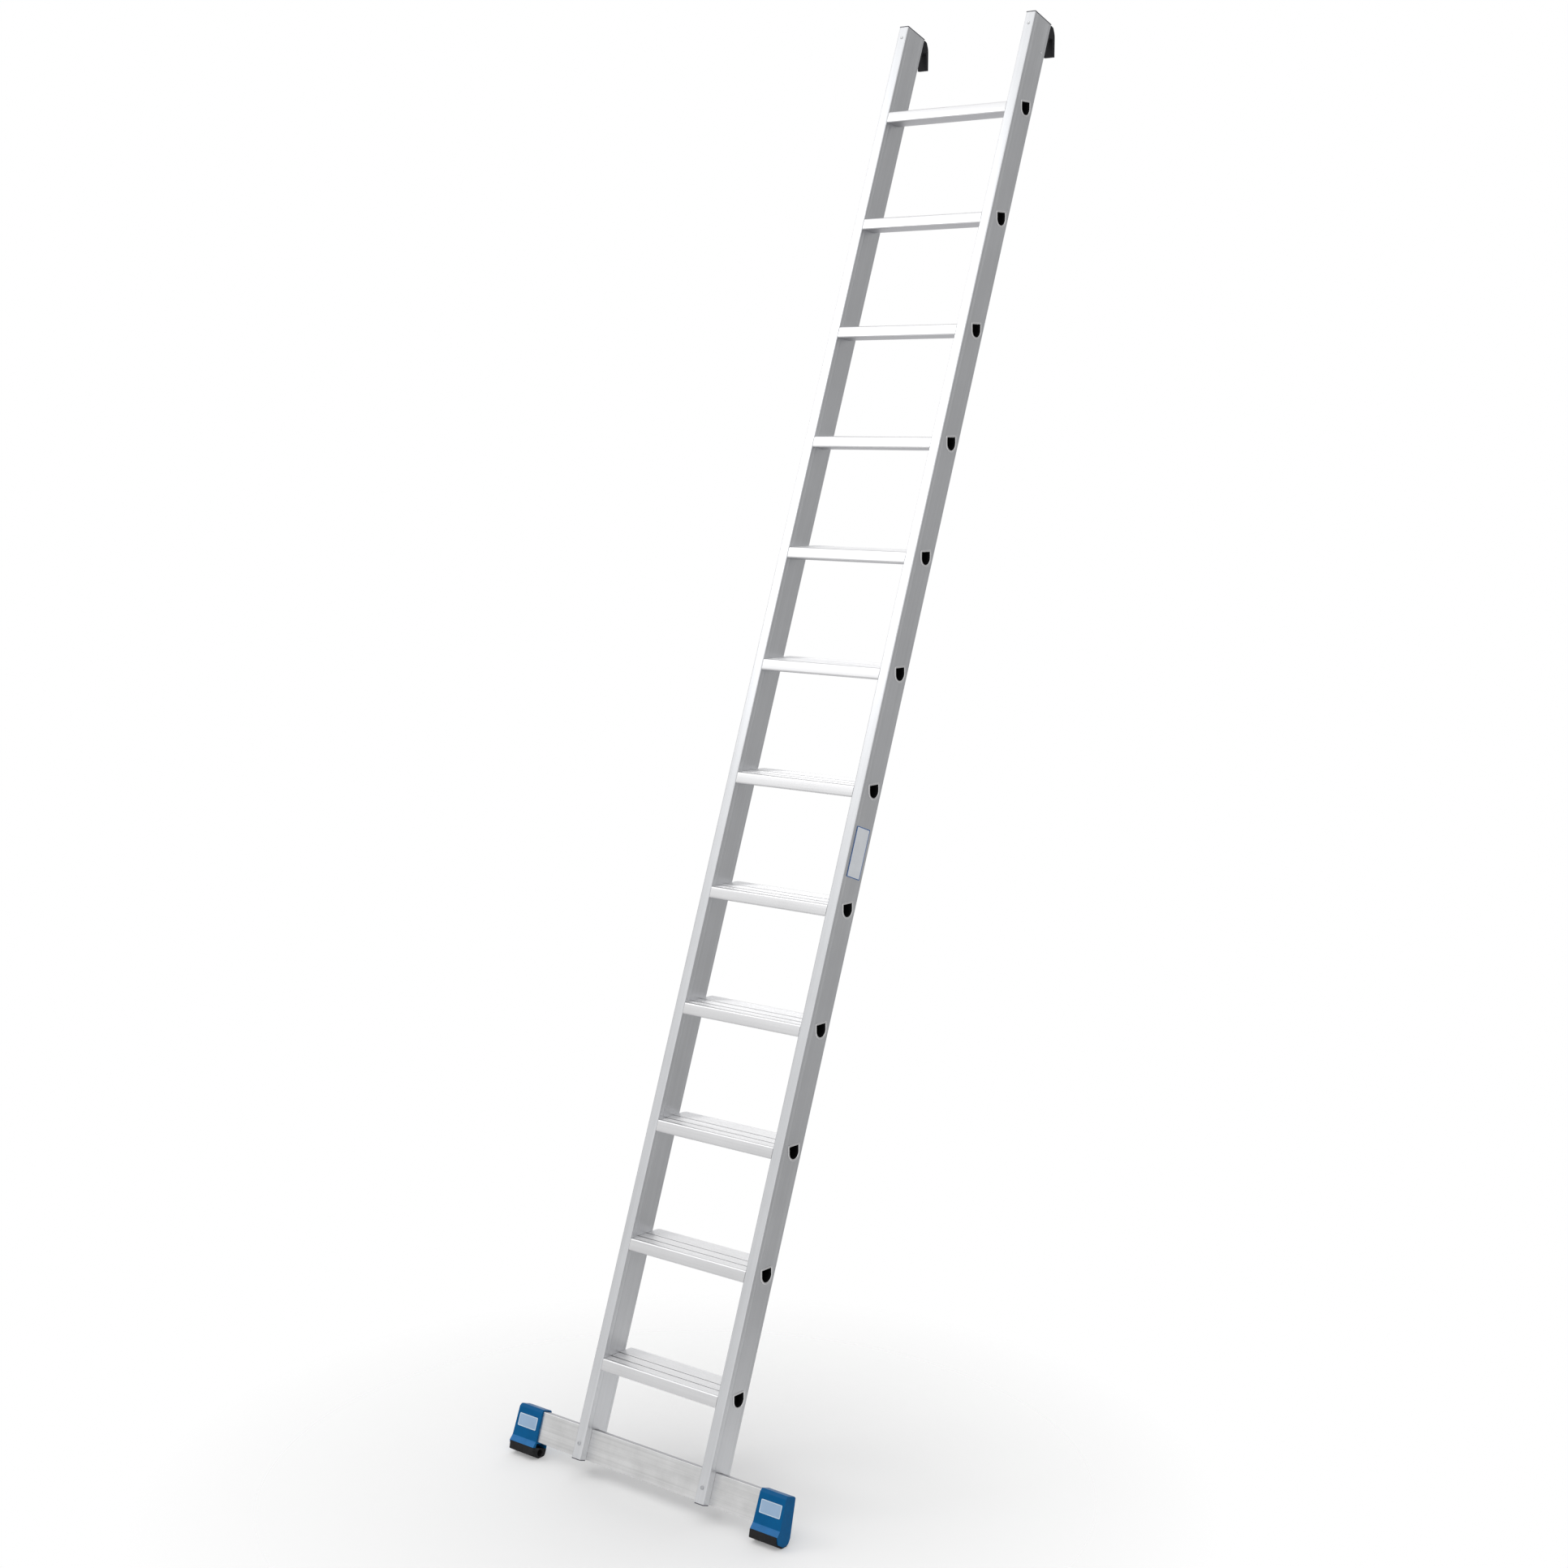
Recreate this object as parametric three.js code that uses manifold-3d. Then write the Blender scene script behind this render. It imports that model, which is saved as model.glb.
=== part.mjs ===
// A leaning ladder with twelve deep, flat treads between two box-section stiles,
// hooks behind the tops of the stiles and a stabiliser bar across their feet.
//
// Units are millimetres, +Z is up, +X is to the climber's right and +Y points at the wall.
// The pieces are made in the ladder's own axes, where z runs up along the stiles, y runs from
// their front faces to their rear faces, and z = 0 is the foot of the stiles. At the end the
// whole ladder leans back to its working angle, which brings the treads level. The rail that the
// hooks go over holds it up, so the origin is on that rail, midway between the hooks.

import * as THREE from 'three';
import { mergeVertices } from 'three/addons/utils/BufferGeometryUtils.js';
import Module from 'manifold-3d';

const wasm = await Module();
wasm.setup();

// ---- Driving dimensions ------------------------------------------------------------------

const LEAN = THREE.MathUtils.degToRad(70);
const TILT = Math.PI / 2 - LEAN;

const LADDER_WIDTH = 360;
const STILE = { length: 3160, width: 23.5, depth: 65, wall: 1.6, corner: 1.5 };
const STILE_LINE = { width: 1.4, depth: 0.4, places: [12, 56] };

const TREAD_COUNT = 12;
const TREAD_PITCH = 250;
const FIRST_TREAD = 208;

// Pieces that touch keep this gap between their faces.
const GAP = 0.3;
const CURVE_STEPS = 3;
const PIN_SIDES = 12;

// The core is the tube under each tread that passes through the stiles. Its section and the
// tread's are level: y back from the core's middle, z up from it.
const CORE = { y: 39.5, width: 30, top: 13.3, corner: 2, shoulder: 0, bellyRound: 12.8, wall: 2 };
const FLARE = { width: 3.4, thickness: 1.1 };
const TREAD = { top: 13.5, back: 49.3, frontInset: 1, noseBottom: -9.5, plate: 2.2, wall: 2 };
const NOSE_ROUND = { top: 3, bottom: 3.5, inside: 1 };
const BACK_LIP = { depth: 7.5, wall: 2.4, edge: 0.8, planCorner: 10 };
const TREAD_GROOVE = { width: 1.4, depth: 0.9, places: [-13.7, 11.1] };

const BAR = { height: 63.5, depth: 21, front: 18.3, wall: 2, corner: 1.5, halfLength: 361.5 };

// A cap is a sleeve on each end of the bar, a little wider at its bottom than at its top, with
// a rubber sole under it. The sole has a facet that is level when the ladder leans.
const CAP = {
  innerTop: 298.5,
  innerBottom: 296.5,
  outerTop: 363.5,
  outerBottom: 366.5,
  front: 14,
  top: 67,
  topBevel: { width: 4, height: 7, round: 1.2 },
  topBack: 43,
  topRound: 4,
  flare: 5,
  flareTop: 0,
  split: -12,
  toe: { y: 16, z: -26, round: 2 },
  heel: { y: 47.5, z: -25, round: 5 },
  bottomRound: 3,
  bottom: -30,
  back: 50.5,
};
const KEEL_ROOM = { front: 17.5, back: 46.5, top: -3.3 };
const SOLE = {
  inner: 296.8,
  outer: 363.8,
  toe: { y: 11.5, z: -29, round: 2 },
  facet: { front: 33, back: 47, z: -33.8 },
  heel: { rise: 4, round: 3 },
  hollow: { y: 34, z: -21.6, radius: 7.5 },
};

const CAP_LABEL = { width: 52, height: 26.5, x: 332, z: 34.5, thickness: 0.8 };
const STILE_LABEL = { width: 44, height: 106, y: 33, z: 1326, thickness: 0.5, corner: 2 };

// The hook's leg is plumb in use, and legBottom is the outer corner of its lower end, measured
// from the top of the stile's rear face.
const HOOK = { plate: 3, plateBottom: -60, mouth: 38, leg: 8.5, legBottom: { y: 36, z: -56 } };
const HOOK_ROUND = { plate: 1, roof: 2, tip: 1.5, top: 3 };
const HOOK_SHOULDER = { y: 20, z: -12, topBack: 9, round: 7 };

const TOP_PLUG = { overhang: 0.5, corner: 2, flange: 1.8, wall: 3, frontStem: 36, mainStem: 82 };
const FOOT_PLUG = { flange: 1.8, stem: 12 };

const BOLT = { z: 31, radius: 3, headRadius: 4.4, headHeight: 2.2, tail: 2 };
const NUT = { across: 10, height: 5 };
const WASHER = { radius: 6.5, thickness: 1.2 };
const RIVET = { radius: 1.6, headRadius: 3.4, headHeight: 1.2, length: 6.5, hookLength: 9.5 };
const FRONT_RIVET_DROP = 25;
const SIDE_RIVET = { drop: 69.5, y: 52.5 };
const HOOK_RIVET_DROPS = [38, 52];

// ---- Finishes ----------------------------------------------------------------------------

const ALUMINIUM = { color: 0xc9ccd0, roughness: 0.42, metalness: 0.85 };
const STEEL = { color: 0xa3a6ab, roughness: 0.35, metalness: 0.9 };
const BLACK_PLASTIC = { color: 0x232326, roughness: 0.6, metalness: 0 };
const GREY_PLASTIC = { color: 0x55565c, roughness: 0.6, metalness: 0 };
const BLUE_PLASTIC = { color: 0x005a9b, roughness: 0.45, metalness: 0 };
const RUBBER = { color: 0x23201e, roughness: 0.85, metalness: 0 };
const PANEL = { color: 0xb4cbe0, roughness: 0.4, metalness: 0 };

// ---- Places worked out from the dimensions ------------------------------------------------

const STILE_X = (LADDER_WIDTH - STILE.width) / 2;
const CLEAR_HALF_WIDTH = LADDER_WIDTH / 2 - STILE.width;
const HALF_STILE = STILE.width / 2;
const BAR_BACK = BAR.front + BAR.depth;
const WEB = { front: BAR.front - GAP - STILE.wall, back: BAR.front - GAP };
const SIDES = [
  { name: 'left', sign: -1 },
  { name: 'right', sign: 1 },
];

// Level and plumb directions in use, in the ladder's own y and z.
const LEVEL_BACK = { y: Math.cos(TILT), z: Math.sin(TILT) };
const PLUMB_DOWN = { y: Math.sin(TILT), z: -Math.cos(TILT) };

// ---- Outlines ----------------------------------------------------------------------------

const corner = (x, y, round = 0) => ({ x, y, round });

// A closed outline through the corners. A rounded corner gets a quadratic curve that starts
// and ends its own round away from it.
function outline(corners, PathClass = THREE.Shape) {
  const path = new PathClass();
  corners.forEach((here, i) => {
    const before = corners[(i + corners.length - 1) % corners.length];
    const after = corners[(i + 1) % corners.length];
    const enter = towards(here, before, here.round);
    const leave = towards(here, after, here.round);
    if (i === 0) path.moveTo(enter.x, enter.y);
    else path.lineTo(enter.x, enter.y);
    if (here.round > 0) path.quadraticCurveTo(here.x, here.y, leave.x, leave.y);
  });
  path.closePath();
  return path;
}

function towards(from, to, distance) {
  const way = new THREE.Vector2(to.x - from.x, to.y - from.y).normalize();
  return { x: from.x + way.x * distance, y: from.y + way.y * distance };
}

function rectangle(x0, x1, y0, y1, round = 0) {
  return [
    corner(x0, y0, round),
    corner(x1, y0, round),
    corner(x1, y1, round),
    corner(x0, y1, round),
  ];
}

function polygon(x, y, radius, sides) {
  return Array.from({ length: sides }, (_, i) => {
    const angle = (i * 2 * Math.PI) / sides;
    return corner(x + radius * Math.cos(angle), y + radius * Math.sin(angle));
  });
}

// The core's section: round below, straight up the sides and flat on top.
function coreShape(grow, PathClass = THREE.Shape) {
  const half = CORE.width / 2 + grow;
  const top = CORE.top + grow;
  const path = new PathClass();
  path.absarc(0, CORE.shoulder, half, -Math.PI, 0, false);
  path.lineTo(half, top - CORE.corner);
  path.lineTo(half - CORE.corner, top);
  path.lineTo(-half + CORE.corner, top);
  path.lineTo(-half, top - CORE.corner);
  path.closePath();
  return path;
}

// ---- Solids ------------------------------------------------------------------------------

function extrudeZ(shape, from, to) {
  const options = { depth: to - from, bevelEnabled: false, curveSegments: CURVE_STEPS };
  return new THREE.ExtrudeGeometry(shape, options).translate(0, 0, from);
}

// The outline's own x and y become the solid's y and z.
function extrudeX(shape, from, to) {
  const y = new THREE.Vector3(0, 1, 0);
  const z = new THREE.Vector3(0, 0, 1);
  const x = new THREE.Vector3(1, 0, 0);
  return extrudeZ(shape, from, to).applyMatrix4(new THREE.Matrix4().makeBasis(y, z, x));
}

// The outline's own x and y become the solid's x and z.
function extrudeY(shape, from, to) {
  return extrudeZ(shape, -to, -from).rotateX(Math.PI / 2);
}

function box(x0, x1, y0, y1, z0, z1) {
  const geometry = new THREE.BoxGeometry(x1 - x0, y1 - y0, z1 - z0);
  return geometry.translate((x0 + x1) / 2, (y0 + y1) / 2, (z0 + z1) / 2);
}

function rodX(radius, from, to, y, z) {
  const rod = new THREE.CylinderGeometry(radius, radius, to - from, PIN_SIDES);
  return rod.rotateZ(Math.PI / 2).translate((from + to) / 2, y, z);
}

function rodY(radius, from, to, x, z) {
  const rod = new THREE.CylinderGeometry(radius, radius, to - from, PIN_SIDES);
  return rod.translate(x, (from + to) / 2, z);
}

function solid(geometry) {
  const bare = geometry.clone();
  bare.deleteAttribute('normal');
  bare.deleteAttribute('uv');
  const merged = mergeVertices(bare);
  const vertProperties = new Float32Array(merged.attributes.position.array);
  const triVerts = new Uint32Array(merged.index.array);
  return new wasm.Manifold(new wasm.Mesh({ numProp: 3, vertProperties, triVerts }));
}

function geometryOf(manifold) {
  const { vertProperties, triVerts } = manifold.getMesh();
  const geometry = new THREE.BufferGeometry();
  geometry.setAttribute('position', new THREE.BufferAttribute(vertProperties, 3));
  geometry.setIndex(new THREE.BufferAttribute(triVerts, 1));
  return geometry;
}

function join(...geometries) {
  return geometryOf(geometries.map(solid).reduce((whole, part) => whole.add(part)));
}

function cut(geometry, ...tools) {
  return geometryOf(tools.map(solid).reduce((left, tool) => left.subtract(tool), solid(geometry)));
}

function common(first, second) {
  return geometryOf(solid(first).intersect(solid(second)));
}

// ---- Stiles ------------------------------------------------------------------------------

// One side of the stile's outline, from the front to the rear, with its two shallow lines.
function stileSide(sign) {
  const edge = sign * HALF_STILE;
  const lines = STILE_LINE.places.flatMap((y) => [
    corner(edge, y - STILE_LINE.width / 2),
    corner(edge - sign * STILE_LINE.depth, y),
    corner(edge, y + STILE_LINE.width / 2),
  ]);
  return [corner(edge, 0, STILE.corner), ...lines, corner(edge, STILE.depth, STILE.corner)];
}

// A box section with a web behind its front chamber.
function stileShape() {
  const shape = outline([...stileSide(-1).reverse(), ...stileSide(1)]);
  const inside = HALF_STILE - STILE.wall;
  const frontChamber = rectangle(-inside, inside, STILE.wall, WEB.front);
  const mainChamber = rectangle(-inside, inside, WEB.back, STILE.depth - STILE.wall);
  shape.holes = [outline(frontChamber, THREE.Path), outline(mainChamber, THREE.Path)];
  return shape;
}

function treadHole(z) {
  const hole = extrudeX(coreShape(GAP), -STILE.width, STILE.width);
  return hole.rotateX(TILT).translate(0, CORE.y, z);
}

// The foot of the stile is a fork over the bar.
function barSlot() {
  const top = BAR.height + GAP;
  return box(-STILE.width, STILE.width, WEB.back, BAR_BACK + GAP, -STILE.wall, top);
}

function stileGeometry(sign) {
  const rivetHole = RIVET.radius + GAP;
  const outside = sign * HALF_STILE;
  const sideHole = [outside - sign * 2 * STILE.wall, outside + sign * STILE.wall].sort((a, b) => a - b);
  return cut(
    extrudeZ(stileShape(), 0, STILE.length),
    ...treadHeights().map(treadHole),
    barSlot(),
    rodY(BOLT.radius + GAP, -STILE.wall, STILE.depth + STILE.wall, 0, BOLT.z),
    rodY(rivetHole, -STILE.wall, 2 * STILE.wall, 0, STILE.length - FRONT_RIVET_DROP),
    rodX(rivetHole, ...sideHole, SIDE_RIVET.y, STILE.length - SIDE_RIVET.drop),
    ...HOOK_RIVET_DROPS.map((drop) => {
      const rear = STILE.depth;
      return rodY(rivetHole, rear - 2 * STILE.wall, rear + STILE.wall, 0, STILE.length - drop);
    }),
  );
}

function stile({ name, sign }) {
  const piece = mesh(`stile_${name}`, stileGeometry(sign), ALUMINIUM);
  piece.position.x = sign * STILE_X;
  return piece;
}

// ---- Treads ------------------------------------------------------------------------------

function treadHeights() {
  return Array.from({ length: TREAD_COUNT }, (_, i) => FIRST_TREAD + i * TREAD_PITCH);
}

// How far in front of the core the tread's front face is at a height. The face is parallel to
// the front of the stiles, so it slopes in the level section.
function treadFront(z, inset = 0) {
  const fromStileFront = TREAD.frontInset + inset - CORE.y;
  return (fromStileFront + z * Math.sin(TILT)) / Math.cos(TILT);
}

function treadShape() {
  const { top, back, noseBottom, plate } = TREAD;
  const half = CORE.width / 2;
  const belly = CORE.shoulder - half;
  const lipFront = back - BACK_LIP.wall;
  const grooves = TREAD_GROOVE.places.toReversed().flatMap((y) => [
    corner(y + TREAD_GROOVE.width / 2, top),
    corner(y, top - TREAD_GROOVE.depth),
    corner(y - TREAD_GROOVE.width / 2, top),
  ]);
  const shape = outline([
    corner(back, top, BACK_LIP.edge),
    ...grooves,
    corner(treadFront(top), top, NOSE_ROUND.top),
    corner(treadFront(noseBottom), noseBottom, NOSE_ROUND.bottom),
    corner(-half / 2, belly),
    corner(half, belly, CORE.bellyRound),
    corner(half, top - plate),
    corner(lipFront, top - plate),
    corner(lipFront, top - BACK_LIP.depth),
    corner(back, top - BACK_LIP.depth),
  ]);
  shape.holes = [coreShape(-CORE.wall, THREE.Path), noseChamber()];
  return shape;
}

function noseChamber() {
  const top = TREAD.top - TREAD.plate;
  const bottom = TREAD.noseBottom + TREAD.wall;
  const back = -CORE.width / 2;
  const chamber = [
    corner(back, top),
    corner(treadFront(top, TREAD.wall), top, NOSE_ROUND.inside),
    corner(treadFront(bottom, TREAD.wall), bottom, NOSE_ROUND.inside),
    corner(back, bottom - TREAD.wall),
  ];
  return outline(chamber, THREE.Path);
}

// What is cut off each rear corner of a tread, seen from above, to leave it round.
function rearCornerTool(sign) {
  const round = BACK_LIP.planCorner;
  const edge = CLEAR_HALF_WIDTH;
  const tool = [
    corner(sign * (edge + round), TREAD.back - round),
    corner(sign * edge, TREAD.back - round),
    corner(sign * edge, TREAD.back, round),
    corner(sign * (edge - round), TREAD.back),
    corner(sign * (edge - round), TREAD.back + round),
    corner(sign * (edge + round), TREAD.back + round),
  ];
  return extrudeZ(outline(tool), -TREAD.top, 2 * TREAD.top);
}

function coreTube(grow, from, to) {
  const section = coreShape(grow);
  section.holes = [coreShape(-CORE.wall, THREE.Path)];
  return extrudeX(section, from, to);
}

function treadGeometry() {
  const plateEnd = CLEAR_HALF_WIDTH - GAP;
  const flareStart = LADDER_WIDTH / 2 + GAP;
  const flareEnd = flareStart + FLARE.thickness;
  const plate = extrudeX(treadShape(), -plateEnd, plateEnd);
  return join(
    cut(plate, rearCornerTool(-1), rearCornerTool(1)),
    coreTube(0, -flareEnd, flareEnd),
    coreTube(FLARE.width, -flareEnd, -flareStart),
    coreTube(FLARE.width, flareStart, flareEnd),
  );
}

function treads() {
  const geometry = treadGeometry();
  return treadHeights().map((z, i) => {
    const number = String(i + 1).padStart(2, '0');
    const piece = mesh(`tread_${number}`, geometry, ALUMINIUM);
    piece.position.set(0, CORE.y, z);
    piece.rotation.x = TILT;
    return piece;
  });
}

// ---- Stabiliser bar and its fastenings ---------------------------------------------------

function bar() {
  const { front, height, wall, halfLength } = BAR;
  const shape = outline(rectangle(front, BAR_BACK, 0, height, BAR.corner));
  const bore = rectangle(front + wall, BAR_BACK - wall, wall, height - wall);
  shape.holes = [outline(bore, THREE.Path)];
  const boltHoles = SIDES.map(({ sign }) =>
    rodY(BOLT.radius + GAP, front - wall, BAR_BACK + wall, sign * STILE_X, BOLT.z),
  );
  const geometry = cut(extrudeX(shape, -halfLength, halfLength), ...boltHoles);
  return mesh('stabiliser_bar', geometry, ALUMINIUM);
}

// A pin along +y with a low domed head, whose underside is at y = 0.
function headedPin({ radius, headRadius, headHeight }, length) {
  const shank = [
    new THREE.Vector2(0, -length),
    new THREE.Vector2(radius, -length),
    new THREE.Vector2(radius, 0),
  ];
  const dome = Array.from({ length: CURVE_STEPS + 1 }, (_, i) => {
    const angle = (i / CURVE_STEPS) * (Math.PI / 2);
    return new THREE.Vector2(headRadius * Math.cos(angle), headHeight * Math.sin(angle));
  });
  dome[CURVE_STEPS].x = 0;
  return new THREE.LatheGeometry([...shank, ...dome], PIN_SIDES);
}

// Puts a headed pin at a place, with its head facing outward.
function placePin(name, geometry, finish, place, outward) {
  const piece = mesh(name, geometry, finish);
  piece.position.set(place.x, place.y, place.z);
  const up = new THREE.Vector3(0, 1, 0);
  piece.quaternion.setFromUnitVectors(up, new THREE.Vector3(outward.x, outward.y, 0));
  return piece;
}

function barBolt({ name, sign }) {
  const end = STILE.depth + 2 * GAP + WASHER.thickness + NUT.height + BOLT.tail;
  const place = { x: sign * STILE_X, y: -GAP, z: BOLT.z };
  return placePin(`bar_bolt_${name}`, headedPin(BOLT, end), STEEL, place, { x: 0, y: -1 });
}

function boltHole(sign) {
  return outline(polygon(sign * STILE_X, BOLT.z, BOLT.radius + GAP, PIN_SIDES), THREE.Path);
}

function barWasher({ name, sign }) {
  const shape = outline(polygon(sign * STILE_X, BOLT.z, WASHER.radius, PIN_SIDES));
  shape.holes = [boltHole(sign)];
  const front = STILE.depth + GAP;
  return mesh(`bar_washer_${name}`, extrudeY(shape, front, front + WASHER.thickness), STEEL);
}

function barNut({ name, sign }) {
  const radius = NUT.across / 2 / Math.cos(Math.PI / 6);
  const shape = outline(polygon(sign * STILE_X, BOLT.z, radius, 6));
  shape.holes = [boltHole(sign)];
  const front = STILE.depth + WASHER.thickness + 2 * GAP;
  return mesh(`bar_nut_${name}`, extrudeY(shape, front, front + NUT.height), STEEL);
}

// ---- Bar caps and soles ------------------------------------------------------------------

// The cap seen from the side. Below the split only its outer end wall is left.
function capSideShape() {
  const { front, top, topBevel, topBack, topRound, flare, flareTop } = CAP;
  const { split, toe, heel, bottom, bottomRound, back } = CAP;
  return outline([
    corner(front, flareTop),
    corner(front, top - topBevel.height, topBevel.round),
    corner(front + topBevel.width, top, topBevel.round),
    corner(topBack, top, topRound),
    corner(back, split),
    corner(heel.y, heel.z, heel.round),
    corner(SOLE.facet.front, bottom, bottomRound),
    corner(toe.y, toe.z, toe.round),
    corner(front - flare, split),
  ]);
}

// The cap seen from the front.
function capFrontShape(sign) {
  return outline([
    corner(sign * CAP.innerTop, CAP.top),
    corner(sign * CAP.innerBottom, CAP.bottom),
    corner(sign * CAP.outerBottom, CAP.bottom),
    corner(sign * CAP.outerTop, CAP.top, CAP.topRound),
  ]);
}

// A box that runs between two distances from the ladder's middle, on the side of the sign.
function sideBox(sign, inner, outer, y0, y1, z0, z1) {
  const [x0, x1] = [sign * inner, sign * outer].sort((a, b) => a - b);
  return box(x0, x1, y0, y1, z0, z1);
}

function capGeometry(sign) {
  const mouth = CAP.innerBottom - 1;
  const soleRoom = SOLE.outer + GAP;
  const reach = CAP.outerBottom;
  const label = CAP_LABEL;
  const labelInner = label.x - label.width / 2 - GAP;
  const labelOuter = label.x + label.width / 2 + GAP;
  const labelBottom = label.z - label.height / 2 - GAP;
  const labelTop = label.z + label.height / 2 + GAP;
  const form = common(
    extrudeX(capSideShape(), -reach, reach),
    extrudeY(capFrontShape(sign), 0, STILE.depth),
  );
  return cut(
    form,
    sideBox(sign, mouth, soleRoom, 0, STILE.depth, 2 * CAP.bottom, CAP.split),
    sideBox(sign, mouth, BAR.halfLength + GAP, WEB.back, BAR_BACK + GAP, -GAP, BAR.height + GAP),
    sideBox(sign, mouth, soleRoom, KEEL_ROOM.front, KEEL_ROOM.back, 2 * CAP.split, KEEL_ROOM.top),
    sideBox(sign, labelInner, labelOuter, 0, CAP.front + label.thickness, labelBottom, labelTop),
  );
}

function soleShape() {
  const { facet, toe, heel, hollow } = SOLE;
  const top = CAP.split - GAP;
  const facetRise = (facet.back - facet.front) * Math.tan(TILT);
  const shape = outline([
    corner(CAP.front - CAP.flare, top),
    corner(toe.y, toe.z, toe.round),
    corner(facet.front, facet.z),
    corner(facet.back, facet.z + facetRise),
    corner(CAP.back, facet.z + facetRise + heel.rise, heel.round),
    corner(CAP.back, top),
  ]);
  shape.holes = [outline(polygon(hollow.y, hollow.z, hollow.radius, PIN_SIDES), THREE.Path)];
  return shape;
}

function soleGeometry(sign) {
  const [x0, x1] = [sign * SOLE.inner, sign * SOLE.outer].sort((a, b) => a - b);
  return extrudeX(soleShape(), x0, x1);
}

function capLabelGeometry(sign) {
  const { x, z, width, height, thickness } = CAP_LABEL;
  const inner = x - width / 2;
  const front = CAP.front - GAP;
  const [z0, z1] = [z - height / 2, z + height / 2];
  return sideBox(sign, inner, inner + width, front, front + thickness, z0, z1);
}

function barEnd({ name, sign }) {
  return [
    mesh(`bar_cap_${name}`, capGeometry(sign), BLUE_PLASTIC),
    mesh(`sole_${name}`, soleGeometry(sign), RUBBER),
    mesh(`cap_label_${name}`, capLabelGeometry(sign), PANEL),
  ];
}

// ---- Plugs in the stiles' ends -----------------------------------------------------------

function chamber(y0, y1, inset) {
  const half = HALF_STILE - STILE.wall - inset;
  return outline(rectangle(-half, half, y0 + inset, y1 - inset));
}

function topPlugGeometry(sign) {
  const { overhang, flange, wall, frontStem, mainStem } = TOP_PLUG;
  const seat = STILE.length + GAP;
  const half = HALF_STILE + overhang;
  const plate = outline(rectangle(-half, half, -overhang, STILE.depth + overhang, TOP_PLUG.corner));
  const rear = STILE.depth - STILE.wall;
  const body = join(
    extrudeZ(plate, seat, seat + flange),
    extrudeZ(chamber(STILE.wall, WEB.front, GAP), seat - frontStem, seat + flange / 2),
    extrudeZ(chamber(WEB.back, rear, GAP), seat - mainStem, seat + flange / 2),
  );
  const pocket = extrudeZ(chamber(WEB.back, rear, GAP + wall), seat - 2 * mainStem, seat - wall);
  const rivetHole = RIVET.radius + GAP;
  const outside = [sign * HALF_STILE, sign * wall].sort((a, b) => a - b);
  return cut(
    body,
    pocket,
    rodY(rivetHole, 0, RIVET.length + STILE.wall, 0, STILE.length - FRONT_RIVET_DROP),
    rodX(rivetHole, ...outside, SIDE_RIVET.y, STILE.length - SIDE_RIVET.drop),
    ...HOOK_RIVET_DROPS.map((drop) =>
      rodY(rivetHole, STILE.depth - RIVET.hookLength, STILE.depth, 0, STILE.length - drop),
    ),
  );
}

function footPlugGeometry() {
  const flange = outline(rectangle(-HALF_STILE, HALF_STILE, 0, WEB.back, STILE.corner));
  return join(
    extrudeZ(flange, -GAP - FOOT_PLUG.flange, -GAP),
    extrudeZ(chamber(STILE.wall, WEB.front, GAP), -GAP - FOOT_PLUG.flange / 2, FOOT_PLUG.stem),
  );
}

function stilePlugs({ name, sign }) {
  const topPlug = mesh(`top_plug_${name}`, topPlugGeometry(sign), GREY_PLASTIC);
  const footPlug = mesh(`foot_plug_${name}`, footPlugGeometry(), GREY_PLASTIC);
  topPlug.position.x = sign * STILE_X;
  footPlug.position.x = sign * STILE_X;
  return [topPlug, footPlug];
}

function plugRivets({ name, sign }) {
  const rivet = headedPin(RIVET, RIVET.length);
  const frontPlace = { x: sign * STILE_X, y: -GAP, z: STILE.length - FRONT_RIVET_DROP };
  const sideX = sign * (LADDER_WIDTH / 2 + GAP);
  const sidePlace = { x: sideX, y: SIDE_RIVET.y, z: STILE.length - SIDE_RIVET.drop };
  return [
    placePin(`plug_front_rivet_${name}`, rivet, ALUMINIUM, frontPlace, { x: 0, y: -1 }),
    placePin(`plug_side_rivet_${name}`, rivet, ALUMINIUM, sidePlace, { x: sign, y: 0 }),
  ];
}

// ---- Hooks -------------------------------------------------------------------------------

const HOOK_SEAT = { y: STILE.depth + GAP, z: STILE.length - GAP };

const step = (from, way, distance) => ({ y: from.y + way.y * distance, z: from.z + way.z * distance });

// The hook's leg is plumb and the roof of its mouth is level when the ladder leans. Its points
// are measured from the top of the stile's rear face.
function hookMouth() {
  const outerBottom = HOOK.legBottom;
  const innerBottom = step(outerBottom, LEVEL_BACK, -HOOK.leg);
  const roofBack = step(innerBottom, PLUMB_DOWN, -HOOK.mouth);
  const roofLength = (roofBack.y - HOOK.plate) / LEVEL_BACK.y;
  const roofFront = step(roofBack, LEVEL_BACK, -roofLength);
  const roofMiddle = step(roofBack, LEVEL_BACK, -roofLength / 2);
  return { outerBottom, innerBottom, roofBack, roofFront, roofMiddle };
}

function hookShape() {
  const { outerBottom, innerBottom, roofBack, roofFront } = hookMouth();
  return outline([
    corner(0, 0),
    corner(0, HOOK.plateBottom, HOOK_ROUND.plate),
    corner(HOOK.plate, HOOK.plateBottom, HOOK_ROUND.plate),
    corner(roofFront.y, roofFront.z),
    corner(roofBack.y, roofBack.z, HOOK_ROUND.roof),
    corner(innerBottom.y, innerBottom.z, HOOK_ROUND.tip),
    corner(outerBottom.y, outerBottom.z, HOOK_ROUND.tip),
    corner(HOOK_SHOULDER.y, HOOK_SHOULDER.z, HOOK_SHOULDER.round),
    corner(HOOK_SHOULDER.topBack, 0, HOOK_ROUND.top),
  ]);
}

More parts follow.
